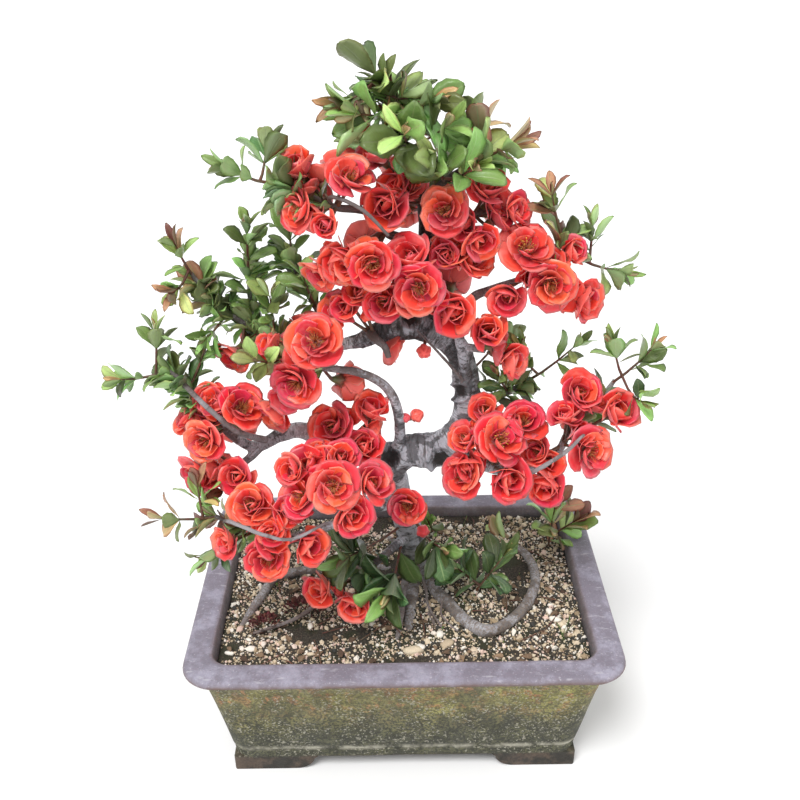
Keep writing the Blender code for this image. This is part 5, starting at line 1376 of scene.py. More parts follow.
class QuincePot(bpy.types.Operator):
    """Builds the stoneware pot with its flanged rim, tapering wall, drain holes and four corner feet"""
    bl_idname = "quince.pot"
    bl_label = "Pot"

    def execute(self, context):
        settings = context.scene.quince_pot
        noise.seed_set(SHAKE_SEED)
        verts, rims, insides, edges = [], [], [], []
        for inset, height, loss, rim, inside in POT_WALL:
            ring = rounded_rectangle(settings.width / 2 - inset, settings.depth / 2 - inset,
                                     RIM_CORNER_RADIUS - loss,
                                     height, settings.corner_steps, SIDE_STEPS)
            for point in ring:
                shake = noise.noise_vector(point * 22.0) * 0.0005 + noise.noise_vector(point * 90.0) * 0.00014
                shake.z *= 0.5 if height > 0.02 else 0.0
                verts.append(point + shake * (0.0 if inset < 0.0008 else 1.0) + MIDDLE)
            rims += [rim] * len(ring)
            insides += [inside] * len(ring)
            # The edge values are partly wear and partly painted shade under the rim.
            edges += [worn_edge(inset, height, rim, inside)] * len(ring)
        count = len(ring)
        faces = ring_faces(count, len(POT_WALL))
        low_floor, low_rings = floor_with_holes(verts, 0, count, POT_WALL[0][1])
        high_floor, high_rings = floor_with_holes(verts, (len(POT_WALL) - 1) * count, count, FLOOR_TOP)
        faces += low_floor + high_floor
        for low, high in zip(low_rings, high_rings):
            faces += [(a, b, d, c) for a, b, c, d in zip(low, low[1:] + low[:1], high, high[1:] + high[:1])]
        body = mesh_from("pot", verts, faces)
        turn_outward(body)
        extra = len(verts) - len(rims)
        # The floors get a share of the near-black inner colour: painted shade.
        put(body, rim=rims + [0.0] * extra, inside=insides + [0.3] * extra, edge=edges + [0.0] * extra)
        feet = [corner_foot(sign_x, sign_y) for sign_x in (-1, 1) for sign_y in (-1, 1)]
        mesh = joined([body] + feet, "pot_stoneware")
        dress(mesh, clay_finish(settings))
        mesh.set_sharp_from_angle(angle=SHARP_ANGLE)
        piece_from("pot_stoneware", mesh, "pot_stoneware", "pot")
        return {"FINISHED"}


# Soil, gravel and what lies on them

def into_pot(x, y, half_x, half_y, radius):
    """A point of a plain rectangle moved so that the rectangle's corners become round."""
    dx = abs(x) - (half_x - radius)
    dy = abs(y) - (half_y - radius)
    if dx > 0 and dy > 0:
        share = max(dx, dy) / math.hypot(dx, dy)
        return (math.copysign(half_x - radius + dx * share, x),
                math.copysign(half_y - radius + dy * share, y))
    return x, y


def inner_size(height):
    """Half width, half depth and corner radius inside the pot's wall at a height."""
    for (inset_high, z_high, loss_high), (inset_low, z_low, loss_low) in zip(INNER_WALL, INNER_WALL[1:]):
        if height >= z_low:
            share = (min(height, z_high) - z_low) / (z_high - z_low)
            inset = inset_low + (inset_high - inset_low) * share
            return (POT_WIDTH / 2 - inset - WALL_GAP, POT_DEPTH / 2 - inset - WALL_GAP,
                    RIM_CORNER_RADIUS - loss_low - (loss_high - loss_low) * share)
    raise ValueError("below the pot's floor")


def chip_shape(name, seed):
    """A fine angular grain: a jittered box of unit size with its corners drawn in."""
    draw = random.Random(seed)
    bm = bmesh.new()
    bmesh.ops.create_cube(bm, size=1.25)
    for vert in bm.verts:
        vert.co = Vector([axis * draw.uniform(0.55, 1.15) for axis in vert.co])
    return mesh_of(bm, name)


def pebble_shape(name, seed, detail=1):
    """An angular grain: a jittered, squashed ball of unit size."""
    draw = random.Random(seed)
    bm = bmesh.new()
    bmesh.ops.create_icosphere(bm, subdivisions=detail, radius=1.0)
    squash = Vector((1.0, draw.uniform(0.65, 0.95), draw.uniform(0.5, 0.8)))
    for vert in bm.verts:
        vert.co = vert.co * squash * draw.uniform(0.78, 1.12)
    return mesh_of(bm, name)


def strewn_with_gravel(point):
    """Whether gravel lies here: dark soil shows in patches, more of them near the trunk."""
    x, y, _ = (point - MIDDLE) / MM
    near_trunk = math.exp(-((x - 2) ** 2 + (y - 8) ** 2) / 1400)
    bare = noise.noise(Vector((x * 0.024, y * 0.024, 11))) + 0.4 * noise.noise(Vector((x * 0.1, y * 0.1, 4)))
    return bare + 0.35 * near_trunk < BARE_LEVEL


class QuinceSoil(bpy.types.Operator):
    """Builds the soil that fills the pot and scatters its gravel"""
    bl_idname = "quince.soil"
    bl_label = "Soil and Gravel"

    def execute(self, context):
        settings = context.scene.quince_soil
        columns, rows = SOIL_CELLS
        half_x, half_y, radius = inner_size(SOIL_OUTLINE_HEIGHT)
        verts = []
        for row in range(rows + 1):
            for column in range(columns + 1):
                x, y = into_pot(half_x * (2 * column / columns - 1), half_y * (2 * row / rows - 1), half_x,
                                half_y,
                                radius)
                verts.append(Vector((x, y, soil_height(x / MM, y / MM) * MM)) + MIDDLE)
        stride = columns + 1
        faces = [(r * stride + c, r * stride + c + 1, (r + 1) * stride + c + 1, (r + 1) * stride + c)
                 for r in range(rows) for c in range(columns)]
        surface = mesh_from("soil_surface", verts,
                            [face for face in faces if strewn_with_gravel(verts[face[0]])])
        last = ([c for c in range(columns)] + [r * stride + columns for r in range(rows)]
                + [rows * stride + c for c in range(columns, 0, -1)] + [r * stride
                                                                        for r in range(rows, 0, -1)])
        border = [verts[index] - MIDDLE for index in last]
        for height in (0.060, FLOOR_TOP + WALL_GAP):
            low_x, low_y, _ = inner_size(height)
            ring = list(range(len(verts), len(verts) + len(border)))
            verts += [Vector((point.x * low_x / half_x, point.y * low_y / half_y, height)) + MIDDLE
                      for point in border]
            faces += [(b, a, c, d) for a, b, c,
                      d in zip(last, last[1:] + last[:1], ring, ring[1:] + ring[:1])]
            last = ring
        faces.append(tuple(reversed(last)))
        block = mesh_from("soil_bed", verts, faces)
        turn_outward(block)
        dress(block, earth_finish(settings))
        piece_from("soil_bed", block, "soil_gravel", "soil")
        stone = gravel_finish(settings)
        for name, shape, density, low, high, seed in (
                ("gravel_fine", chip_shape, settings.fine_density, settings.smallest, settings.middle, 3),
                ("gravel_coarse", pebble_shape, settings.coarse_density, settings.middle, settings.largest,
                 8)):
            shelf = Shapes(name + "_grains")
            for draw in range(GRAIN_SHAPES):
                shelf.add("grain", shape("grain", 40 + draw))
            tree = grains_tree("quince_" + name, shelf.collection, stone)
            grains = run_tree(surface.copy(), tree, Density=density, Smallest=low, Largest=high, Seed=seed)
            grains.shade_flat()
            piece_from(name, grains, "soil_gravel")
            shelf.remove()
        return {"FINISHED"}


LITTER_COLOURS = ((0.30, 0.20, 0.12, 1.0), (0.075, 0.045, 0.03, 1.0))
SEEDLING_COLOURS = ((0.16, 0.025, 0.035, 1.0), (0.12, 0.20, 0.05, 1.0))
# Mossy cushions of red scales: (across, back, radius, scales)
MOSS_SPOTS = ((-119, -52, 12, 90), (-91, -34, 13, 80), (-72, -40, 6, 16))
# Grass blades: (across, back, lean, length)
GRASS = ((134, -68, 0.2, 24), (136, -70, -0.5, 19), (133, -66, 0.9, 16), (60, 84, 0.3, 14))
# Pebbles that the photo shows one by one: (across, back, radius)
PEBBLES = ((36, -76, 6.5), (131, -48, 6), (-128, -78, 6), (7, -84, 9), (12, -80, 6), (58, -84, 5))
UP = Vector((0, 0, 1))


def ground_shapes():
    shelf = Shapes("quince_litter")
    for seed in range(3):
        shelf.add("leaf", leaf_shape("litter", 90 + seed, 0.26, 0.7 + 0.3 * seed, 0.5, 0.3, 7, 4))
    shelf.add("scale", leaf_shape("scale", 95, 0.30, 0.3, 0.4, 0.2, 4, 2))
    shelf.add("grass", leaf_shape("grass", 96, 0.045, 0.6, 0.6, 0.0, 8, 2))
    for seed in range(4):
        shelf.add("stone", pebble_shape("stone", 30 + seed, 2))
    return shelf


class QuinceGround(bpy.types.Operator):
    """Strews leaf litter, twigs, moss, seedlings and a grass blade over the soil"""
    bl_idname = "quince.ground"
    bl_label = "Ground Cover"

    def execute(self, context):
        draw = random.Random(77)
        shelf = ground_shapes()
        dead, alive, stones = Plan(), Plan(), Plan()
        self.strew_litter(dead, shelf, draw)
        self.plant_seedlings(alive, shelf, draw)
        spots = PEBBLES + tuple((draw.uniform(-146, 146), draw.uniform(-94, 94), draw.uniform(2.8, 5.2))
                                for _ in range(60))
        for x, y, size in spots:
            turn = draw.uniform(0, math.tau)
            stones.add(shelf.pick("stone", draw), (x, y, soil_height(x, y) + size * 0.15), heading(turn, 0.1),
                       Vector((0.1, 0, 1)), (size, size * 0.8, size * 0.7), draw.uniform(0.2, 1))
        litter = Finish("quince_litter", None, 0.85)
        litter.done(litter.vary(litter.mix(*LITTER_COLOURS, *litter.values("tone")), litter.noise(500.0),
                                0.8))
        seedling = Finish("quince_seedling", None, 0.6)
        tone, tint = seedling.values("tone", "tint")
        seedling.done(seedling.vary(seedling.mix(*SEEDLING_COLOURS, tone), tint, 0.8))
        stem = stem_finish(context.scene.quince_leaf)
        for name, plan, slot, part, material in (
                ("leaf_litter", dead, "soil_gravel", LEAF, litter.material),
                ("pebbles", stones, "soil_gravel", 0.0, bpy.data.materials["quince_gravel"]),
                ("moss_seedlings", alive, "leaf_green", LEAF, seedling.material)):
            tree = growth_tree("quince_" + name, shelf.collection, ((part, material), (STEM, stem)))
            mesh = run_tree(plan.mesh(), tree, Stem_Sides=4)
            mesh.shade_smooth()
            piece_from(name, mesh, slot)
        shelf.remove()
        return {"FINISHED"}

    def strew_litter(self, plan, shelf, draw):
        """Dead leaves and bits of twig."""
        for _ in range(130):
            x, y = draw.uniform(-150, 150), draw.uniform(-98, 98)
            turn = draw.uniform(0, math.tau)
            ahead = heading(turn, draw.uniform(-0.2, 0.25))
            face = Vector((draw.uniform(-0.4, 0.4), draw.uniform(-0.4, 0.4), 1))
            plan.add(shelf.pick("leaf", draw), (x, y, soil_height(x, y) + 1.6), ahead, face,
                     draw.uniform(5, 11), draw.uniform(0, 1), draw.uniform(0, 1))
        for _ in range(46):
            x, y = draw.uniform(-145, 145), draw.uniform(-95, 95)
            half = heading(draw.uniform(0, math.tau)) * draw.uniform(6, 17)
            height = soil_height(x, y) + 2.0
            plan.stem([Vector((x, y, height)) - half, Vector((x + 1, y, height + 0.7)),
                       Vector((x, y, height)) + half], (0.5, 0.6, 0.35), draw.uniform(0, 1))

    def plant_seedlings(self, plan, shelf, draw):
        """Cushions of scales, scattered seedlings and blades of grass."""
        for x, y, reach, count in MOSS_SPOTS:
            for _ in range(count):
                turn = draw.uniform(0, math.tau)
                out = draw.uniform(0, 1) ** 0.6 * reach
                px, py = x + math.cos(turn) * out, y + math.sin(turn) * out
                lift = draw.uniform(1, 10) * (1.1 - out / reach)
                plan.add(shelf.pick("scale", draw), (px, py, soil_height(px, py) + 1 + lift),
                         heading(turn, 0.9), UP,
                         draw.uniform(3.2, 5.6), draw.uniform(0, 1), draw.uniform(0, 0.2))
        for _ in range(420):
            x, y = draw.gauss(30, 62), draw.gauss(10, 48)
            if abs(x) > 148 or abs(y) > 96 or noise.noise(Vector((x * 0.04, y * 0.04, 5))) < 0.02:
                continue
            turn = draw.uniform(0, math.tau)
            plan.add(shelf.pick("scale", draw), (x, y, soil_height(x, y) + 1.2), heading(turn, 1.2), UP,
                     draw.uniform(1.8, 3.4), draw.uniform(0, 1), draw.uniform(0.75, 1))
        for x, y, lean, length in GRASS:
            plan.add(shelf.pick("grass", draw), (x, y, soil_height(x, y)), Vector((lean, 0.1, 1)),
                     Vector((1, -0.4, 0.2)), length, draw.uniform(0, 1), 1.0)


# Wood

class QuinceWood(bpy.types.Operator):
    """Grows trunk, branches and surface roots as one barked piece"""
    bl_idname = "quince.wood"
    bl_label = "Trunk, Branches and Roots"

    def execute(self, context):
        settings = context.scene.quince_wood
        thick, thin = Plan(), Plan()
        for route in FINE_TWIGS:
            thin.route(smooth_route(route, 4))
        for route in WOOD_ROUTES.values():
            path = smooth_route(route, 5)
            heavy = [row for row in path if row[3] >= FUSED_RADIUS]
            if len(heavy) > 3:
                thick.route(heavy)
            slim = [row for row in path if row[3] < TUBE_RADIUS]
            if len(slim) > 1:
                thin.route(slim)
        shelf = Shapes("quince_knots")
        shelf.add("knot", pebble_shape("knot", 5, 3))
        for x, y, z, radius in WOOD_KNOTS:
            thick.add(0, (x, y, z), Vector((1, 0.3, 0.2)), Vector((0.2, -0.4, 1)), radius * 1.05)
        bark = bark_finish(settings)
        tree = growth_tree("quince_wood", shelf.collection, ())
        holder = in_scene("wood_core", run_tree(thick.mesh(), tree, Stem_Sides=20))
        remesh = holder.modifiers.new("join", "REMESH")
        remesh.mode = "VOXEL"
        remesh.voxel_size = settings.voxel
        holder.modifiers.new("ease", "SMOOTH").iterations = 3
        core = evaluated_mesh(holder)
        twigs = run_tree(thin.mesh(), tree, Stem_Sides=9)
        for mesh in (core, twigs):
            for label in [layer.name for layer in mesh.attributes if layer.name in ("tint", "tone", "part")]:
                mesh.attributes.remove(mesh.attributes[label])
        slim = [0.0] * len(core.vertices) + [1.0] * len(twigs.vertices)
        mesh = joined([core, twigs], "trunk_wood")
        self.bark_values(mesh, settings.relief)
        put(mesh, slim=slim)
        dress(mesh, bark)
        piece_from("trunk_wood", mesh, "bark", "trunk_branches_roots")
        shelf.remove()
        return {"FINISHED"}

    def bark_values(self, mesh, relief):
        """Gives each point its distance along the wood and its turn about it, and raises the bark's lumps."""
        count = len(mesh.vertices)
        places = np.empty(count * 3)
        mesh.vertices.foreach_get("co", places)
        places = (places.reshape(-1, 3) - np.array(MIDDLE)) / MM
        best = np.full(count, 1e9)
        run = np.zeros(count)
        turn = np.zeros(count)
        dark = np.zeros(count)
        thick = np.zeros(count)
        out = np.zeros((count, 3))
        start_run = 0.0
        for name, route in WOOD_ROUTES.items():
            for first, second in zip(route, route[1:]):
                a, b = np.array(first[:3], float), np.array(second[:3], float)
                length = np.linalg.norm(b - a)
                along = np.clip((places - a) @ (b - a) / length ** 2, 0, 1)
                gap = places - (a + along[:, None] * (b - a))
                radius = first[3] + (second[3] - first[3]) * along
                distance = np.linalg.norm(gap, axis=1) / radius
                nearer = distance < best
                across, beside = frame_about(Vector(b - a), 0)
                best[nearer] = distance[nearer]
                run[nearer] = start_run + along[nearer] * length
                turn[nearer] = np.arctan2(gap[nearer] @ np.array(beside), gap[nearer] @ np.array(across))
                dark[nearer] = 1.0 if name in DARK_ROUTES else 0.0
                thick[nearer] = radius[nearer]
                out[nearer] = gap[nearer] / np.maximum(np.linalg.norm(gap[nearer], axis=1), 1e-6)[:, None]
                start_run += length
            start_run += 40.0
        lift = np.zeros(count)
        for index in range(count):
            p = Vector(places[index])
            wrap = Vector((math.cos(turn[index]) * 0.9, math.sin(turn[index]) * 0.9, run[index] * 0.09))
            ring = noise.noise(Vector((run[index] * 0.30, math.cos(turn[index]) * 0.35, 7.0)))
            lump = noise.noise(wrap) * 0.8 + noise.noise(p * 0.16) * 0.6 + max(ring, 0.0) * 0.5
            lift[index] = lump * min(thick[index] / FULL_BARK_RADIUS, 1.1)
            if thick[index] > 5.5:
                upper = min(max((p.z - OLD_BARK_HEIGHT + 14 * noise.noise(p * 0.09)) / 16, 0.0), 1.0)
                dark[index] = max(dark[index], 0.72 * upper)
            for scar in OLD_CUTS:
                middle = Vector(scar[:3])
                look = (middle - EYE).normalized()
                gap = p - middle
                reach = (gap - look * gap.dot(look)).length / scar[3]
                if reach < 1.4 and abs(gap.dot(look)) < 16 and Vector(out[index]).dot(look) < 0.1:
                    bowl = math.exp(-(reach / 0.55) ** 2)
                    ridge = math.exp(-((reach - 0.92) / 0.16) ** 2)
                    lift[index] += 2.6 * ridge - 2.8 * bowl + 1.2 * noise.noise(p * 0.8) * bowl
                    rough = 0.25 * noise.noise(p * 0.45)
                    dark[index] = max(dark[index] * (1 - 0.8 * ridge),
                                      math.exp(-(reach / (0.78 + rough)) ** 6))
        places += out * (lift * relief / MM)[:, None]
        dusty = np.clip((DUST_HEIGHT - places[:, 2]) / 36.0, 0, 1) * 0.85
        mesh.vertices.foreach_set("co", (places * MM + np.array(MIDDLE)).ravel())
        mesh.update()
        put(mesh, bark_run=run, bark_turn=turn, dark=dark, dusty=dusty)


# Blooms

def bloom_shapes():
    shelf = Shapes("quince_bloom_shapes")
    for seed in range(6):
        shelf.add("outer", petal_shape("outer", seed, 58, 0.70 + 0.12 * (seed % 3), 0.50 + 0.3 * (seed % 2),
                                       0.55,
                                       0.040, 0.05 * (seed % 2)))
    for seed in range(5):
        shelf.add("middle", petal_shape("middle", 20 + seed, 51, 1.15 + 0.12 * (seed % 3), 0.25 * (seed % 2),
                                        0.85,
                                        0.045, 0.05 * (seed % 2)))
    for seed in range(5):
        shelf.add("inner", petal_shape("inner", 40 + seed, 46, 1.35 + 0.18 * (seed % 3), 0.0, 1.1, 0.06,
                                       0.12 * (seed % 2), 5, 6))
    for seed in range(2):
        shelf.add("bud", bud_shape("bud", 60 + seed))
    for seed in range(3):
        shelf.add("stamens", stamen_shape("stamens", 80 + seed, STAMENS))
    shelf.add("calyx", calyx_shape("calyx"))
    return shelf


def add_petals(plan, shelf, family, draw, bloom, count, start, length, rise, bend, tone):
    """One layer of petals: each rises from the bloom's face by its own angle and overlaps its neighbour."""
    centre, across, beside, ahead, radius = bloom
    for petal in range(count):
        turn = (start + (petal + 0.5 + draw.uniform(-0.08, 0.08)) / count) * math.tau
        flat = across * math.cos(turn) + beside * math.sin(turn)
        aside = beside * math.cos(turn) - across * math.sin(turn)
        lean = rise + math.radians(draw.uniform(-8, 8)) - bend / 2
        along = flat * math.cos(lean) + ahead * math.sin(lean)
        face = ahead * math.cos(lean) - flat * math.sin(lean)
        face = face + aside * math.tan(math.radians(draw.uniform(6, 16)))
        size = length * draw.uniform(0.93, 1.05)
        width = size * draw.uniform(0.92, 1.08)
        plan.add(shelf.pick(family, draw), centre + flat * radius * 0.10, along, face, (size, width, size),
                 draw.uniform(0, 1), min(1.0, max(0.0, tone + draw.uniform(-0.15, 0.15))))


def add_bloom(plan, shelf, draw, centre, radius, cup, facing, spur, turn, tone):
    """A double bloom on its stalk: calyx, three layers of petals and a boss of stamens."""
    across, beside = frame_about(facing, turn)
    ahead = facing.normalized()
    bud = cup >= BUD_CUP
    foot = centre - ahead * radius * (0.95 if bud else 0.50)
    plan.stem([spur, spur.lerp(foot, 0.5) + Vector((0, 0, -0.6)), foot], (1.5, 1.2, 1.6), draw.uniform(0, 1))
    if bud:
        plan.add(shelf.pick("calyx", draw), centre - ahead * radius * 0.5, across, ahead, radius * 1.35,
                 draw.uniform(0, 1))
        plan.add(shelf.pick("bud", draw), centre, across, ahead, radius * 1.15, draw.uniform(0, 1), tone)
        return
    plan.add(shelf.pick("calyx", draw), centre, across, ahead, radius, draw.uniform(0, 1))
    bloom = (centre, across, beside, ahead, radius)
    rise = math.radians(min(cup, 56))
    full = radius / (0.15 + 0.85 * math.cos(rise))
    add_petals(plan, shelf, "outer", draw, bloom, 5, 0.0, full * 1.02, rise, 0.45, tone)
    add_petals(plan, shelf, "middle", draw, bloom, 5, 0.1, full * 0.88, min(rise + 0.24, 1.10), 0.70, tone)
    add_petals(plan, shelf, "inner", draw, bloom, 3, 0.03, full * 0.66, min(rise + 0.52, 1.25), 0.8, tone)
    if cup < 50:
        if draw.random() < 0.5:
            add_petals(plan, shelf, "inner", draw, bloom, 2, draw.uniform(0, 1), full * 0.46,
                       min(rise + 0.87, 1.35), 0.9, tone + 0.1)
        plan.add(shelf.pick("stamens", draw), centre + ahead * radius * 0.02, across, ahead, radius * 0.42,
                 draw.uniform(0, 1))


class QuinceBlooms(bpy.types.Operator):
    """Opens every bunch of double blooms and buds on its spur"""
    bl_idname = "quince.blooms"
    bl_label = "Blooms"

    def execute(self, context):
        settings = context.scene.quince_bloom
        shelf = bloom_shapes()
        tree = growth_tree("quince_blooms", shelf.collection, (
            (PETAL, petal_finish(settings)), (STAMEN, stamen_finish(settings)),
            (CALYX, calyx_finish(settings)),
            (STEM, stem_finish(context.scene.quince_leaf))))
        for index, (name, (spur_at, blooms)) in enumerate(BUNCHES.items()):
            draw = random.Random(100 + index)
            extra = random.Random(500 + index)
            plan = Plan()
            for x, y, z, radius, cup in blooms:
                turn = draw.uniform(0, math.tau)
                sway = any_way(draw) * 0.30
                centre = Vector((x, y, z))
                _, place, wood, _ = nearest_wood(Vector(spur_at).lerp(centre, 0.15))
                spur = place + (centre - place).normalized() * wood * 0.8
                facing = (bloom_facing(centre, place) + sway).normalized()
                tone = extra.choice((0.05, 0.15, 0.25, 0.45, 0.75))
                add_bloom(plan, shelf, extra, centre, radius * settings.fullness, cup, facing, spur,
                          turn / math.tau, tone)
            self.fill_between(plan, shelf, Vector(spur_at), [row for row in blooms if row[4] < BUD_CUP],
                              extra,
                              settings.between)
            mesh = run_tree(plan.mesh(), tree, Stem_Sides=7)
            mesh.shade_smooth()
            piece_from("petals_" + name, mesh, "petal_red", "blooms_" + name)
        plan = Plan()
        draw = random.Random(900)
        for x, y, z, radius in LOOSE_BUDS:
            centre = Vector((x, y, z))
            _, place, _, _ = nearest_wood(centre)
            facing = ((centre - place).normalized() + Vector((0, -0.5, 0.5))).normalized()
            add_bloom(plan, shelf, draw, centre, radius, 90, facing, place, 0.3, 0.2)
        mesh = run_tree(plan.mesh(), tree, Stem_Sides=7)
        mesh.shade_smooth()
        piece_from("buds_inner", mesh, "petal_red")
        shelf.remove()
        return {"FINISHED"}

    def fill_between(self, plan, shelf, spur, blooms, draw, most):
        """Smaller blooms that show between and behind their neighbours, with fewer petals."""
        pairs = []
        for index, first in enumerate(blooms):
            for second in blooms[index + 1:]:
                apart = (Vector(first[:3]) - Vector(second[:3])).length
                if apart < 1.7 * (first[3] + second[3]):
                    pairs.append((-apart, first, second))
        for _, first, second in sorted(pairs)[-most:]:
            middle = Vector(first[:3]).lerp(Vector(second[:3]), draw.uniform(0.35, 0.65))
            _, place, _, _ = nearest_wood(spur.lerp(middle, 0.15))
            away = (middle - place).normalized()
            centre = middle - away * draw.uniform(3, 8)
            sway = any_way(draw) * 0.7
            facing = (bloom_facing(middle, place) + sway).normalized()
            across, beside = frame_about(facing, draw.uniform(0, 1))
            radius = draw.uniform(11, 15)
            bloom = (centre, across, beside, facing, radius)
            tone = draw.choice((0.05, 0.2, 0.6))
            plan.stem([place, centre - facing * radius * 0.5], (1.3, 1.3), 0.5)
            plan.add(shelf.pick("calyx", draw), centre, across, facing, radius, 0.5)
            rise = math.radians(draw.uniform(30, 58))
            full = radius / (0.15 + 0.85 * math.cos(rise))
            add_petals(plan, shelf, "outer", draw, bloom, 5, 0.0, full, rise, 0.45, tone)
            add_petals(plan, shelf, "inner", draw, bloom, 3, 0.1, full * 0.74, min(rise + 0.4, 1.2), 0.8,
                       tone)


# Leaves

def leaf_shapes():
    shelf = Shapes("quince_leaf_shapes")
    for seed, (width, curl, fold, wave) in enumerate(((0.25, 0.5, 0.30, 0.10), (0.29, 0.9, 0.20, 0.18),
                                                      (0.24, 0.2, 0.45, 0.08), (0.27, 0.7, 0.12, 0.22),
                                                      (0.25, 1.2, 0.30, 0.12), (0.21, 0.3, 0.60, 0.06))):
        shelf.add("leaf", leaf_shape("leaf", 10 + seed, width, curl, fold, wave))
    for seed in range(3):
        shelf.add("young", leaf_shape("young", 30 + seed, 0.15, 0.3 * seed, 0.7, 0.05, 8))
    return shelf


def add_leaf(plan, shelf, draw, place, axes, turn, rise, length, tone):
    across, beside, ahead = axes
    flat = across * math.cos(turn * math.tau) + beside * math.sin(turn * math.tau)
    along = flat * math.cos(rise) + ahead * math.sin(rise)
    face = ahead * math.cos(rise) - flat * math.sin(rise)
    side = along.cross(face) * draw.uniform(-0.6, 0.6)
    along = (along + beside * draw.uniform(-0.35, 0.35) + across * draw.uniform(-0.35, 0.35)
             + Vector((0, 0, draw.uniform(-0.25, 0.15)))).normalized()
    if tone > 2.2 and rise < 1.1 and draw.random() < 0.5:
        tone = 1.3
    family = "young" if rise > 1.1 else "leaf"
    plan.add(shelf.pick(family, draw), place + flat * 0.6, along, face + side, length, draw.uniform(0, 1),
             min(3.0, max(0.0, tone + draw.uniform(-0.35, 0.35))))


def axes_at(route, t):
    """A place on a stem, and the axes across and along the stem there."""
    place, along = route_place(route, t)
    return place, frame_about(along, 0) + (along,)


class QuinceLeaves(bpy.types.Operator):
    """Leafs out every shoot of the tree and the small plants in the soil"""
    bl_idname = "quince.leaves"
    bl_label = "Leaves"

    def execute(self, context):
        settings = context.scene.quince_leaf
        shelf = leaf_shapes()
        tree = growth_tree("quince_leaves", shelf.collection, ((LEAF, leaf_finish(settings)),
                                                               (STEM, stem_finish(settings))))
        for index, (name, (start, tips, count, length, tone)) in enumerate(SHOOTS.items()):
            draw = random.Random(300 + index)
            extra = random.Random(700 + index)
            start = Vector(start)
            sprig = name in SPRIGS
            plan = Plan()
            for number, tip in enumerate(tips):
                tip = Vector((min(tip[0], settings.reach), tip[1], min(tip[2], settings.top)))
                if number == 0:
                    route = first = sprig_route(start, tip) if sprig else stem_route(start, tip, 4.0)
                else:
                    fork = route_place(first, 0.42 if sprig else 0.25)[0]
                    route = stem_route(fork, tip, 0.0 if sprig else 4.0 * (1 + 0.5 * number))
                plan.stem(route, (1.25, 1.1, 0.9, 0.5), extra.uniform(0, 1))
                if abs(tip.x) > OUTER_LEAVES and tip.z > LOW_LEAVES:
                    scale = 1.05
                else:
                    scale = settings.leaf_scale * (1.2 if tip.z < LOW_LEAVES else 1.0)
                bushy = 2.2 if sprig else 0.6 if tip.z > HIGH_LEAVES else 1.0
                self.leaf_out(plan, shelf, route, draw_whorls(count, length * scale, draw), extra,
                              TONE_VALUES[tone], settings.extra * bushy)
            bushy = 2.0 if start.x < -60 and start.z > 340 else 1.0
            self.leaf_twig(plan, shelf, start, length * settings.leaf_scale, TONE_VALUES[tone], extra,
                           round(settings.nodes * bushy))
            mesh = run_tree(plan.mesh(), tree, Stem_Sides=6)
            mesh.shade_smooth()
            piece_from("foliage_" + name, mesh, "leaf_" + tone, "leaves_" + name)
        shelf.remove()
        return {"FINISHED"}

    def leaf_twig(self, plan, shelf, start, length, tone, draw, nodes):
        """Fans of leaves at the nodes of the slender twig that carries a shoot."""
        path = smooth_route(WOOD_ROUTES[nearest_wood(start)[0]], 5)
        spots = [index for index in range(1, len(path) - 1) if path[index][3] < LEAFY_TWIG_RADIUS
                 and (Vector(path[index][:3]) - start).length < LEAFY_TWIG_REACH]
        for _ in range(nodes if spots else 0):
            index = draw.choice(spots)
            axis = (Vector(path[index + 1][:3]) - Vector(path[index - 1][:3])).normalized()
            axes = frame_about(axis, 0) + (axis,)
            turn = draw.uniform(0, 1)
            for leaf in range(draw.choice((2, 3))):
                add_leaf(plan, shelf, draw, Vector(path[index][:3]), axes,
                         turn + leaf * draw.uniform(0.1, 0.45),
                         math.radians(draw.uniform(5, 64)), length * draw.uniform(0.6, 1.1),
                         tone + draw.uniform(-0.5, 0.6))

    def leaf_out(self, plan, shelf, route, whorls, draw, tone, share):
        """The whorls of a stem, smaller leaves between them, and two young ones at its tip."""
        sizes = []
        for t, leaves in whorls:
            place, axes = axes_at(route, t)
            for turn, rise, length in leaves:
                young = 0.5 if t > 0.9 else 0.0
                add_leaf(plan, shelf, draw, place, axes, turn, rise, length,
                         tone + young * draw.uniform(0, 1.4))
                sizes.append(length)
        length = sum(sizes) / len(sizes)
        for _ in range(round(len(sizes) * share)):
            place, axes = axes_at(route, draw.uniform(0.18, 0.97))
            add_leaf(plan, shelf, draw, place, axes, draw.uniform(0, 1), math.radians(draw.uniform(0, 55)),
                     length * draw.uniform(0.6, 1.1), tone + draw.uniform(-0.5, 0.5))
        place, axes = axes_at(route, 0.99)
        for _ in range(2):
            add_leaf(plan, shelf, draw, place, axes, draw.uniform(0, 1), math.radians(draw.uniform(66, 84)),
                     length * draw.uniform(0.45, 0.75), draw.uniform(2.4, 3.0))


# Stage

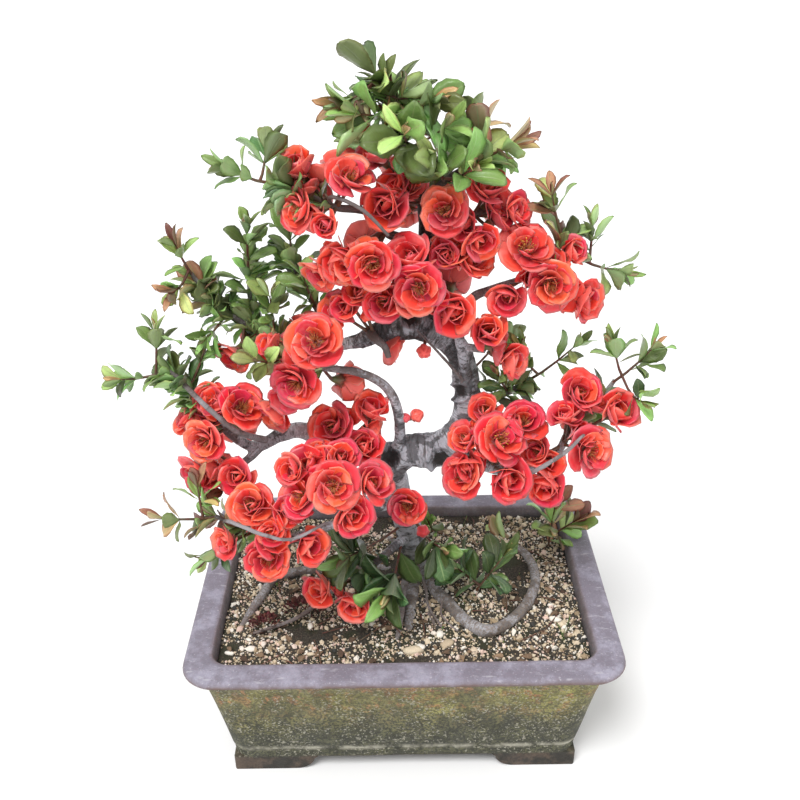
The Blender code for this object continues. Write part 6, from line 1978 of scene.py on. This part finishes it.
class QuinceStage(bpy.types.Operator):
    """Sets the pale floor, the soft light and the camera at the photo's angle"""
    bl_idname = "quince.stage"
    bl_label = "Stage"

    def execute(self, context):
        settings = context.scene.quince_stage
        corners = [(x * FLOOR_REACH, y * FLOOR_REACH, -FLOOR_DROP) for x,
                   y in ((-1, -1), (1, -1), (1, 1), (-1, 1))]
        floor = mesh_from("studio_floor", corners, [(0, 1, 2, 3)])
        make = Finish("studio_floor", settings, 0.9)
        floor.materials.append(make.done(make.vary("floor", make.noise(2.0), 0.004, 0.0)))
        in_scene("studio_floor", floor)
        world = bpy.data.worlds.new("studio")
        world.use_nodes = True
        sky = world.node_tree.nodes["Background"].inputs
        sky["Color"].default_value = (1.0, 1.0, 1.0, 1.0)
        sky["Strength"].default_value = settings.sky
        context.scene.world = world
        context.scene.view_settings.view_transform = "Standard"
        for name, power, spread, place in (("key", settings.key, 26, (-0.45, -0.62, 1.55)),
                                           ("fill", settings.fill, 60, (1.2, -0.5, 0.9))):
            lamp = bpy.data.lights.new(name, "SUN")
            lamp.energy = power
            lamp.angle = math.radians(spread)
            holder = in_scene(name, lamp)
            holder.location = place
            holder.rotation_euler = (LAMP_TARGET - Vector(place)).to_track_quat("-Z", "Y").to_euler()
        self.camera(context, settings.lens)
        return {"FINISHED"}

    def camera(self, context, lens):
        ahead = Vector((math.sin(CAMERA_YAW) * math.cos(CAMERA_PITCH),
                        math.cos(CAMERA_YAW) * math.cos(CAMERA_PITCH),
                        -math.sin(CAMERA_PITCH)))
        right = Vector((math.cos(CAMERA_YAW), -math.sin(CAMERA_YAW), 0))
        up = right.cross(ahead)
        across = right * math.cos(CAMERA_ROLL) + up * math.sin(CAMERA_ROLL)
        above = up * math.cos(CAMERA_ROLL) - right * math.sin(CAMERA_ROLL)
        data = bpy.data.cameras.new("camera")
        data.lens = lens
        data.sensor_width = SENSOR_WIDTH
        camera = in_scene("camera", data)
        turn = Matrix((across, above, -ahead)).transposed().to_4x4()
        camera.matrix_world = Matrix.Translation(CAMERA_PLACE + MIDDLE) @ turn
        context.scene.camera = camera


class QUINCE_PT_panel(bpy.types.Panel):
    """Lists the pieces of the bonsai and their settings"""
    bl_label = "Quince Bonsai"
    bl_idname = "QUINCE_PT_panel"
    bl_space_type = "VIEW_3D"
    bl_region_type = "UI"
    bl_category = "Bonsai"

    def draw(self, context):
        for operator, settings_name in STEPS:
            box = self.layout.box()
            box.operator(operator.bl_idname)
            settings = getattr(context.scene, settings_name)
            for key in settings.__annotations__:
                box.prop(settings, key)


STEPS = (
    (QuincePot, "quince_pot"),
    (QuinceSoil, "quince_soil"),
    (QuinceGround, "quince_leaf"),
    (QuinceWood, "quince_wood"),
    (QuinceBlooms, "quince_bloom"),
    (QuinceLeaves, "quince_leaf"),
    (QuinceStage, "quince_stage"),
)
SETTINGS = (
    ("quince_pot", QuincePotSettings),
    ("quince_soil", QuinceSoilSettings),
    ("quince_wood", QuinceWoodSettings),
    ("quince_bloom", QuinceBloomSettings),
    ("quince_leaf", QuinceLeafSettings),
    ("quince_stage", QuinceStageSettings),
)


def register():
    for name, kind in SETTINGS:
        bpy.utils.register_class(kind)
        setattr(bpy.types.Scene, name, bpy.props.PointerProperty(type=kind))
    for operator, _ in STEPS:
        bpy.utils.register_class(operator)
    bpy.utils.register_class(QUINCE_PT_panel)


def unregister():
    bpy.utils.unregister_class(QUINCE_PT_panel)
    for operator, _ in reversed(STEPS):
        bpy.utils.unregister_class(operator)
    for name, kind in reversed(SETTINGS):
        delattr(bpy.types.Scene, name)
        bpy.utils.unregister_class(kind)


def main():
    register()
    blotches_group()
    vary_group()
    for operator, _ in STEPS:
        family, name = operator.bl_idname.split(".")
        getattr(getattr(bpy.ops, family), name)()


if __name__ == "__main__":
    main()
